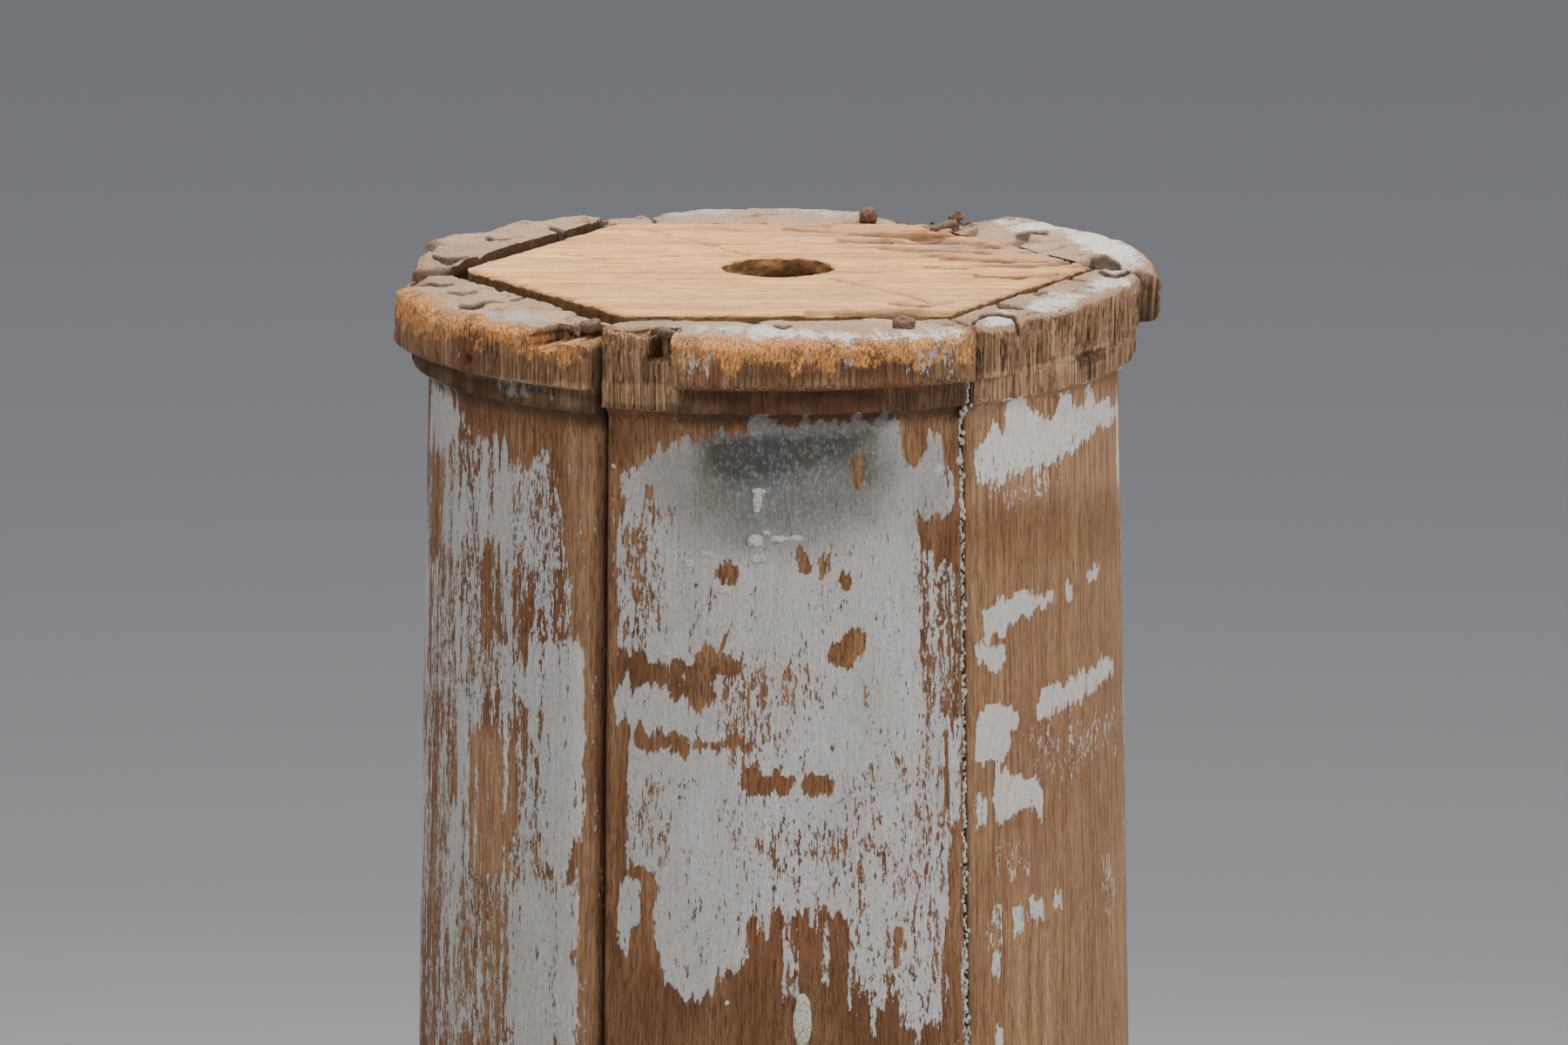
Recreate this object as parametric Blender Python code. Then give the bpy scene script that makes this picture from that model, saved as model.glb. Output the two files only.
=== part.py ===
"""The upper metre of a hollow wooden column: six moulded staves round a hexagonal head board.

Metres, +Z up. The origin is the middle of the sawn foot, on the column's axis.
The front of the column looks along -Y.
"""

import math

import bmesh
import bpy
from mathutils import Matrix

# The turned shaft
COLUMN_LENGTH = 1.000
NECK_RADIUS = 0.099
FOOT_RADIUS = 0.115
ENTASIS = 0.0019  # how far the shaft swells past a straight taper, at half its height
WALL = 0.033  # thickness of a stave in the middle of its width

# The astragal, fillet and cavetto under the head
ASTRAGAL_STEP = 0.0085  # how far the astragal stands out from the fillet
ASTRAGAL_HEIGHT = 0.0155
ASTRAGAL_TOP_ROUND = 0.006
ASTRAGAL_UNDER_ROUND = 0.004
FILLET_STEP = 0.0045  # how far the fillet stands out from the neck, by the cavetto's quarter round
FILLET_HEIGHT = 0.0075

# The staves, counted anticlockwise from the first seam
STAVE_NAMES = (
    "stave_right_back",
    "stave_back",
    "stave_left_back",
    "stave_left_front",
    "stave_front",
    "stave_right_front",
)
STAVE_TOPS = (0.0025, 0.0005, 0.0025, -0.0004, 0.0, 0.0)  # how far each top stands above the rest
STAVE_MOULDINGS = (-0.0005, 0.0005, 0.0, -0.0022, 0.0, 0.0)  # and how far its mouldings do
FIRST_SEAM = math.radians(2)
SEAM_GAP = 0.0009
STAVE_SPAN = math.tau / len(STAVE_NAMES)

# The head board and the rebate that carries it
RIM = 0.006  # wood left outside the rebate's corners, at the neck
BOARD_THICKNESS = 0.028
BOARD_PROUD = 0.001  # how far its top stands above the staves
BOARD_PLAY = 0.0017  # the shrinkage gap round the board, each side, when it sits centred
BOARD_SHIFT = 0.0013  # how far it has moved to the right within that gap
BORE_RADIUS = 0.016
TOUCHING = 0.0003  # gap between faces that rest on each other

# Nails with forged heads, driven down into the staves
NAIL_SHANK_RADIUS = 0.0015
NAIL_LENGTH = 0.018
NAIL_HEAD_RADIUS = 0.003
NAIL_HEAD_THICKNESS = 0.0022
NAIL_HEAD_TAPER = 0.7  # the struck top's radius as a share of the head's

# Where the moulding has split away: stave, from and to in degrees, how far past the fillet the
# wood that is left stands, and the depth of the break from the stave's top
FULL_DEPTH = 1.0  # all of the astragal, down to the fillet
PAST_FILLET = 0.0005  # how far such a break runs below the astragal
BREAKS = (
    ("stave_front", -119, -105, -0.0005, FULL_DEPTH),
    ("stave_front", -109.5, -104.5, -0.0070, 0.008),
    ("stave_right_front", -60, -45, 0.0025, FULL_DEPTH),
    ("stave_right_front", -45, 3, -0.0005, FULL_DEPTH),
    ("stave_right_back", 0, 9, -0.0120, 0.0035),
    ("stave_right_back", 48, 64, -0.0200, 0.0015),
    ("stave_right_back", 53, 64, -0.0060, 0.012),
    ("stave_back", 60, 74, -0.0060, 0.012),
    ("stave_left_back", 158, 184, -0.0005, FULL_DEPTH),
    ("stave_left_front", 180, 187, 0.0015, 0.006),
    ("stave_left_front", 187, 194, 0.0045, 0.003),
    ("stave_left_front", 232.5, 237, -0.0055, 0.005),
    ("stave_left_front", 236.5, 244, -0.0095, 0.003),
)

# Where nails stand: node, stave, angle in degrees, how far in from the fillet, how far the seat
# lies below the stave's top, and how far the head stands above that seat
NAILS = (
    ("nail_left_seam", "stave_left_front", 238.7, 0.0063, 0.003, 0.001),
    ("nail_front_notch", "stave_front", -107.0, 0.0030, 0.008, 0.0055),
    ("nail_front_right", "stave_front", -68.7, 0.0040, 0.0, 0.0),
    ("nail_back", "stave_back", 71.5, 0.0160, 0.0, 0.0012),
    ("nail_right_back", "stave_right_back", 54.5, 0.0110, 0.0015, 0.0003),
)

SHAFT_STEPS = 10
ARC_STEPS = 4
SPIN_STEPS = 12  # facets across one stave
BORE_FACETS = 48
NAIL_FACETS = 12
SHARP_ANGLE = math.radians(35)
PAST = 0.02  # how far a cutter runs past what it cuts


def material(name, colour, roughness, metallic=0.0):
    made = bpy.data.materials.new(name)
    made.use_nodes = True
    shader = made.node_tree.nodes["Principled BSDF"]
    shader.inputs["Base Color"].default_value = (*colour, 1.0)
    shader.inputs["Roughness"].default_value = roughness
    shader.inputs["Metallic"].default_value = metallic
    return made


def add_object(name, bm, finish=None):
    """Puts a bmesh in the scene as one object, with its faces pointing out."""
    bmesh.ops.recalc_face_normals(bm, faces=bm.faces)
    mesh = bpy.data.meshes.new(name)
    bm.to_mesh(mesh)
    bm.free()
    mesh.shade_smooth()
    mesh.set_sharp_from_angle(angle=SHARP_ANGLE)
    made = bpy.data.objects.new(name, mesh)
    bpy.context.scene.collection.objects.link(made)
    if finish:
        mesh.materials.append(finish)
    return made


def cut(target, cutter):
    """Takes the cutter away from the target, and keeps it out of a render."""
    cutter.hide_render = True
    cutter.display_type = "WIRE"
    change = target.modifiers.new("cut by " + cutter.name, "BOOLEAN")
    change.operation = "DIFFERENCE"
    change.object = cutter


def arc(centre, radius, start, end):
    """Points of an arc in a profile, both ends included, with its angles in degrees."""
    points = []
    for step in range(ARC_STEPS + 1):
        angle = math.radians(start + (end - start) * step / ARC_STEPS)
        across, up = radius * math.cos(angle), radius * math.sin(angle)
        points.append((centre[0] + across, centre[1] + up))
    return points


def neck_height(level):
    """Where the shaft ends and the cavetto begins, with an astragal whose top is at that level."""
    return level - ASTRAGAL_HEIGHT - FILLET_HEIGHT - FILLET_STEP


def fillet_radius():
    return NECK_RADIUS + FILLET_STEP


def astragal_radius():
    return fillet_radius() + ASTRAGAL_STEP


def shaft_radius(share):
    """The shaft's radius at a share of the way from the foot to the neck."""
    straight = FOOT_RADIUS + (NECK_RADIUS - FOOT_RADIUS) * share
    return straight + 4 * ENTASIS * share * (1 - share)


def outer_profile(top, level):
    """(radius, height) from the foot up the shaft and round the mouldings to the top."""
    neck = neck_height(level)
    under = level - ASTRAGAL_HEIGHT
    outer = astragal_radius()
    points = [(shaft_radius(n / SHAFT_STEPS), neck * n / SHAFT_STEPS) for n in range(SHAFT_STEPS)]
    points += arc((fillet_radius(), neck), FILLET_STEP, 180, 90)
    points.append((fillet_radius(), under))
    lower = (outer - ASTRAGAL_UNDER_ROUND, under + ASTRAGAL_UNDER_ROUND)
    upper = (outer - ASTRAGAL_TOP_ROUND, top - ASTRAGAL_TOP_ROUND)
    points += arc(lower, ASTRAGAL_UNDER_ROUND, -90, 0)
    points += arc(upper, ASTRAGAL_TOP_ROUND, 0, 90)
    return points


def sector(name, profile, start, end, finish=None):
    """A closed profile turned about the axis from one angle to another."""
    bm = bmesh.new()
    ring = [bm.verts.new((radius, 0, height)) for radius, height in profile]
    face = bm.faces.new(ring)
    turn_to_start = Matrix.Rotation(start, 3, "Z")
    bmesh.ops.rotate(bm, verts=ring, cent=(0, 0, 0), matrix=turn_to_start)
    bmesh.ops.spin(
        bm,
        geom=[face, *face.edges, *face.verts],
        cent=(0, 0, 0),
        axis=(0, 0, 1),
        angle=end - start,
        steps=SPIN_STEPS,
    )
    return add_object(name, bm, finish)


def polygon_prism(name, low, high, bottom, top, finish=None):
    """A prism with one side behind each stave; low and high are its apothems at its two ends."""
    to_corner = 1 / math.cos(STAVE_SPAN / 2)
    bm = bmesh.new()
    bmesh.ops.create_cone(
        bm,
        cap_ends=True,
        segments=len(STAVE_NAMES),
        radius1=low * to_corner,
        radius2=high * to_corner,
        depth=top - bottom,
    )
    first_corner = math.pi / 2  # where create_cone puts its first corner
    turn = Matrix.Rotation(FIRST_SEAM - first_corner, 3, "Z")
    bmesh.ops.rotate(bm, verts=bm.verts, cent=(0, 0, 0), matrix=turn)
    bmesh.ops.translate(bm, verts=bm.verts, vec=(0, 0, (bottom + top) / 2))
    return add_object(name, bm, finish)


def turned(name, rings, facets, finish=None):
    """A solid turned about +Z from rings of (radius, height), listed from the bottom up."""
    radius, height = rings[0]
    bm = bmesh.new()
    bmesh.ops.create_circle(bm, cap_ends=True, segments=facets, radius=radius)
    bmesh.ops.translate(bm, verts=bm.verts, vec=(0, 0, height))
    top = next(iter(bm.faces))
    for next_radius, next_height in rings[1:]:
        raised = bmesh.ops.extrude_face_region(bm, geom=[top, *top.edges])["geom"]
        top = next(f for f in raised if isinstance(f, bmesh.types.BMFace))
        ring = list(top.verts)
        wider = next_radius / radius
        bmesh.ops.scale(bm, verts=ring, vec=(wider, wider, 1))
        bmesh.ops.translate(bm, verts=ring, vec=(0, 0, next_height - height))
        radius, height = next_radius, next_height
    return add_object(name, bm, finish)


def rebate_floor():
    """The height of the ledge under the head board."""
    return COLUMN_LENGTH + BOARD_PROUD - BOARD_THICKNESS - TOUCHING


def rebate_apothem():
    return (NECK_RADIUS - RIM) * math.cos(STAVE_SPAN / 2)


def hollow_apothem(share):
    """The inner flat of a stave, a straight plank face that follows the taper."""
    return FOOT_RADIUS - WALL + (NECK_RADIUS - FOOT_RADIUS) * share


def make_hollow():
    """The open inside of the column, from below the foot to inside the rebate."""
    top = rebate_floor() + BOARD_THICKNESS / 2
    neck = neck_height(COLUMN_LENGTH)
    low = hollow_apothem(-PAST / neck)
    high = hollow_apothem(top / neck)
    return polygon_prism("hollow_cutter", low, high, -PAST, top)


def make_rebate():
    apothem = rebate_apothem()
    return polygon_prism("rebate_cutter", apothem, apothem, rebate_floor(), COLUMN_LENGTH + PAST)


def make_stave(number, finish, shared_cutters):
    name = STAVE_NAMES[number]
    top = COLUMN_LENGTH + STAVE_TOPS[number]
    level = COLUMN_LENGTH + STAVE_MOULDINGS[number]
    deepest = level - ASTRAGAL_HEIGHT - PAST_FILLET
    half_gap = SEAM_GAP / 2 / NECK_RADIUS
    start = FIRST_SEAM + number * STAVE_SPAN
    inside = hollow_apothem(1) / 2  # the hollow is cut out to past this
    profile = [(inside, 0), *outer_profile(top, level), (inside, top)]
    stave = sector(name, profile, start + half_gap, start + STAVE_SPAN - half_gap, finish)
    for cutter in shared_cutters:
        cut(stave, cutter)
    own = [broken[1:] for broken in BREAKS if broken[0] == name]
    for count, (low, high, left, depth) in enumerate(own):
        radius, beyond = fillet_radius() + left, astragal_radius() + PAST
        floor, above = max(top - depth, deepest), top + PAST
        box = [(radius, floor), (beyond, floor), (beyond, above), (radius, above)]
        cutter = sector(f"{name}_break_{count}", box, math.radians(low), math.radians(high))
        cut(stave, cutter)
    return stave


def make_board(finish):
    underside = rebate_floor() + TOUCHING
    top = underside + BOARD_THICKNESS
    apothem = rebate_apothem() - BOARD_PLAY
    board = polygon_prism("head_board", apothem, apothem, underside, top, finish)
    through = [(BORE_RADIUS, underside - PAST), (BORE_RADIUS, top + PAST)]
    bore = turned("bore_cutter", through, BORE_FACETS)
    cut(board, bore)
    board.location.x = BOARD_SHIFT
    bore.location.x = BOARD_SHIFT
    return board


def make_nail(name, stave, angle, inset, below, lift, finish):
    """A round head on a round shank, and the hole that the shank fills."""
    seat = COLUMN_LENGTH + STAVE_TOPS[STAVE_NAMES.index(stave.name)] - below
    head_low = seat + lift + TOUCHING
    point = head_low - NAIL_LENGTH
    direction = math.radians(angle)
    radius = fillet_radius() - inset
    place = (radius * math.cos(direction), radius * math.sin(direction), 0)
    rings = [
        (NAIL_SHANK_RADIUS, point),
        (NAIL_SHANK_RADIUS, head_low),
        (NAIL_HEAD_RADIUS, head_low),
        (NAIL_HEAD_RADIUS, head_low + NAIL_HEAD_THICKNESS / 2),
        (NAIL_HEAD_RADIUS * NAIL_HEAD_TAPER, head_low + NAIL_HEAD_THICKNESS),
    ]
    nail = turned(name, rings, NAIL_FACETS, finish)
    nail.location = place
    bore = NAIL_SHANK_RADIUS + TOUCHING
    hole = turned(name + "_hole", [(bore, point - TOUCHING), (bore, seat + PAST)], NAIL_FACETS)
    hole.location = place
    cut(stave, hole)
    return nail


def build():
    for old in list(bpy.data.objects):
        bpy.data.objects.remove(old, do_unlink=True)
    wood = material("Weathered hardwood", (0.34, 0.20, 0.11), 0.75)
    board_wood = material("Bleached board", (0.50, 0.36, 0.23), 0.8)
    rust = material("Rusted iron", (0.15, 0.07, 0.05), 0.85)
    shared = [make_hollow(), make_rebate()]
    staves = [make_stave(number, wood, shared) for number in range(len(STAVE_NAMES))]
    make_board(board_wood)
    by_name = {stave.name: stave for stave in staves}
    for name, stave, *place in NAILS:
        make_nail(name, by_name[stave], *place, rust)


build()
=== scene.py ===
import math

import bmesh
import bpy
import numpy as np
from mathutils import Euler, Matrix, Vector


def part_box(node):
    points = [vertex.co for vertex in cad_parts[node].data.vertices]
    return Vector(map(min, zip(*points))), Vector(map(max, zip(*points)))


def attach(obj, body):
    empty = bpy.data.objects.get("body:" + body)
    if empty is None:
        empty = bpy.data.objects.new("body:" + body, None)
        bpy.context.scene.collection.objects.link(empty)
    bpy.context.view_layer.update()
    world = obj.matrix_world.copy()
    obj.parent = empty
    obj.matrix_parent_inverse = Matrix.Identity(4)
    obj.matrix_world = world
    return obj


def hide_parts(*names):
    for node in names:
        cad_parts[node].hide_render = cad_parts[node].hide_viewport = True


# An old wooden column head: six worn staves round a board, with flaking paint and rusted nails
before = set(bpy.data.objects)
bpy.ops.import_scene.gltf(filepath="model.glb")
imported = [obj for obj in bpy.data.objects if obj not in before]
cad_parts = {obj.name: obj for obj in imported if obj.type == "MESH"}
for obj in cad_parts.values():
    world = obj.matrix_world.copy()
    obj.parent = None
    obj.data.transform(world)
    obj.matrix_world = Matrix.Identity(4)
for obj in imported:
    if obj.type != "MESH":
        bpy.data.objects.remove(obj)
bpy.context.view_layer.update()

# The camera, fitted to the photograph's viewing angle
cameraFit = {
    "lens": 200.0,  # mm
    "sensor": 36.0,  # mm
    "imageWide": 1800,
    "imageHigh": 1200,
    "distance": 2.5,  # m to the point looked at
    "pitch": 11.39,  # degrees down
    "boardTop": 1.001,
    "sideStep": 0.003,  # m, the point looked at lies this far right of the axis
    "drop": 0.0736,  # m, and this far under the board's top in the picture
    "clip": (0.1, 60.0),
}
pitch = math.radians(cameraFit["pitch"])
forward = np.array([0.0, math.cos(pitch), -math.sin(pitch)])
upward = np.array([0.0, math.sin(pitch), math.cos(pitch)])
rightward = np.array([1.0, 0.0, 0.0])
lookAt = np.array([cameraFit["sideStep"], 0.0, cameraFit["boardTop"]]) - upward * cameraFit["drop"]
eye = lookAt - forward * cameraFit["distance"]
focal = cameraFit["lens"] / cameraFit["sensor"] * cameraFit["imageWide"]


def makeCamera():
    data = bpy.data.cameras.new("photoCamera")
    data.lens = cameraFit["lens"]
    data.sensor_width = cameraFit["sensor"]
    data.clip_start, data.clip_end = cameraFit["clip"]
    camera = bpy.data.objects.new("photoCamera", data)
    bpy.context.scene.collection.objects.link(camera)
    camera.location = Vector(eye)
    camera.rotation_euler = Euler((math.pi / 2 - pitch, 0.0, 0.0))
    bpy.context.scene.camera = camera


def toPixel(points):
    away = points - eye
    depth = away @ forward
    x = cameraFit["imageWide"] / 2 + focal * (away @ rightward) / depth
    y = cameraFit["imageHigh"] / 2 - focal * (away @ upward) / depth
    return x, y


def pixelRay(x, y):
    across = (x - cameraFit["imageWide"] / 2) / focal
    up = (cameraFit["imageHigh"] / 2 - y) / focal
    return forward + rightward * across + upward * up


def fromPixel(x, y, height):  # the place at that height that the photograph shows at a pixel
    ray = pixelRay(x, y)
    return (eye + ray * ((height - eye[2]) / ray[2]))[:2]


# Small tools: seeded noise on points, soft steps and distances


def cellValue(cell, seed):  # 0 to 1, scattered by large odd numbers
    parts = cell.astype(np.int64).astype(np.uint32)
    mixed = parts[:, 0] * np.uint32(374761393) + parts[:, 1] * np.uint32(668265263)
    mixed = mixed + parts[:, 2] * np.uint32(2246822519) + np.uint32(seed * 974711 % 4294967291)
    mixed = (mixed ^ (mixed >> np.uint32(15))) * np.uint32(2146121005)
    mixed = (mixed ^ (mixed >> np.uint32(13))) * np.uint32(2221713035)
    return ((mixed ^ (mixed >> np.uint32(16))) / 4294967295.0).astype(float)


def softNoise(points, spacing, seed):  # 0 to 1, with a lattice of that spacing in metres
    place = points / np.array(spacing, float)
    cell = np.floor(place)
    part = place - cell
    part = part * part * (3 - 2 * part)
    total = np.zeros(len(points))
    for x in (0, 1):
        for y in (0, 1):
            for z in (0, 1):
                weight = part[:, 0] if x else 1 - part[:, 0]
                weight = weight * (part[:, 1] if y else 1 - part[:, 1])
                weight = weight * (part[:, 2] if z else 1 - part[:, 2])
                total += weight * cellValue(cell + (x, y, z), seed)
    return total


# A row of a noise table: its spacing in metres, seed, layers of finer noise, which of its values
# from 0 to 1 changes nothing, and how much the whole of it would change
def uneven(points, row, turn=0):
    spacing, seed, layers, middle, amount = row
    total, size, share = np.zeros(len(points)), 1.0, 0.0
    for layer in range(layers):
        total += size * softNoise(points, np.array(spacing) / 2**layer, seed + turn + 17 * layer)
        share += size
        size *= 0.55
    return (total / share - middle) * amount


def softStep(value, low, high):
    share = np.clip((value - low) / (high - low), 0, 1)
    return share * share * (3 - 2 * share)


def band(value, low, high, soft):
    return softStep(value, low - soft, low + soft) * (1 - softStep(value, high - soft, high + soft))


def lineDistance(x, y, line):  # from each point to an open line of points
    best = np.full(len(x), 1e9)
    for (ax, ay), (bx, by) in zip(line[:-1], line[1:]):
        dx, dy = bx - ax, by - ay
        along = np.clip(((x - ax) * dx + (y - ay) * dy) / (dx * dx + dy * dy + 1e-12), 0, 1)
        best = np.minimum(best, np.hypot(x - ax - along * dx, y - ay - along * dy))
    return best


def insideDistance(x, y, outline):  # positive inside a closed outline
    edge = lineDistance(x, y, [*outline, outline[0]])
    within = np.zeros(len(x), bool)
    for (ax, ay), (bx, by) in zip(outline, [*outline[1:], outline[0]]):
        crosses = (ay > y) != (by > y)
        reach = (bx - ax) * (y - ay) / ((by - ay) or 1e-9) + ax
        within ^= crosses & (x < reach)
    return np.where(within, edge, -edge)


def addPiece(name, mesh, finish, slot, *nodes):
    piece = bpy.data.objects.new(name, mesh)
    bpy.context.scene.collection.objects.link(piece)
    mesh.materials.clear()
    mesh.materials.append(finish)
    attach(piece, "root")
    if nodes:
        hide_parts(*nodes)
    return piece


def meshFrom(bm, name):
    mesh = bpy.data.meshes.new(name)
    bm.to_mesh(mesh)
    bm.free()
    return mesh


def getPoints(mesh, key="co"):
    flat = np.empty(len(mesh.vertices) * 3, np.float32)
    mesh.vertices.foreach_get(key, flat)
    return flat.reshape(-1, 3).astype(float)


def setPoints(mesh, points):
    mesh.vertices.foreach_set("co", points.astype(np.float32).ravel())
    mesh.update()


def setMarks(mesh, marks):  # what the materials read at each point
    for name, values in marks.items():
        layer = mesh.attributes.new(name, "FLOAT", "POINT")
        layer.data.foreach_set("value", np.clip(values, -1, 2).astype(np.float32))


def closeMesh(mesh, gap=0.00002):  # merge doubles and drop what has collapsed
    bm = bmesh.new()
    bm.from_mesh(mesh)
    bmesh.ops.remove_doubles(bm, verts=bm.verts, dist=gap)
    bmesh.ops.dissolve_degenerate(bm, dist=gap, edges=bm.edges)
    bmesh.ops.recalc_face_normals(bm, faces=bm.faces)
    bm.to_mesh(mesh)
    bm.free()
    mesh.validate()  # of two faces on the same corners one goes
    mesh.shade_smooth()
    mesh.set_sharp_from_angle(angle=math.radians(55))


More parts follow.
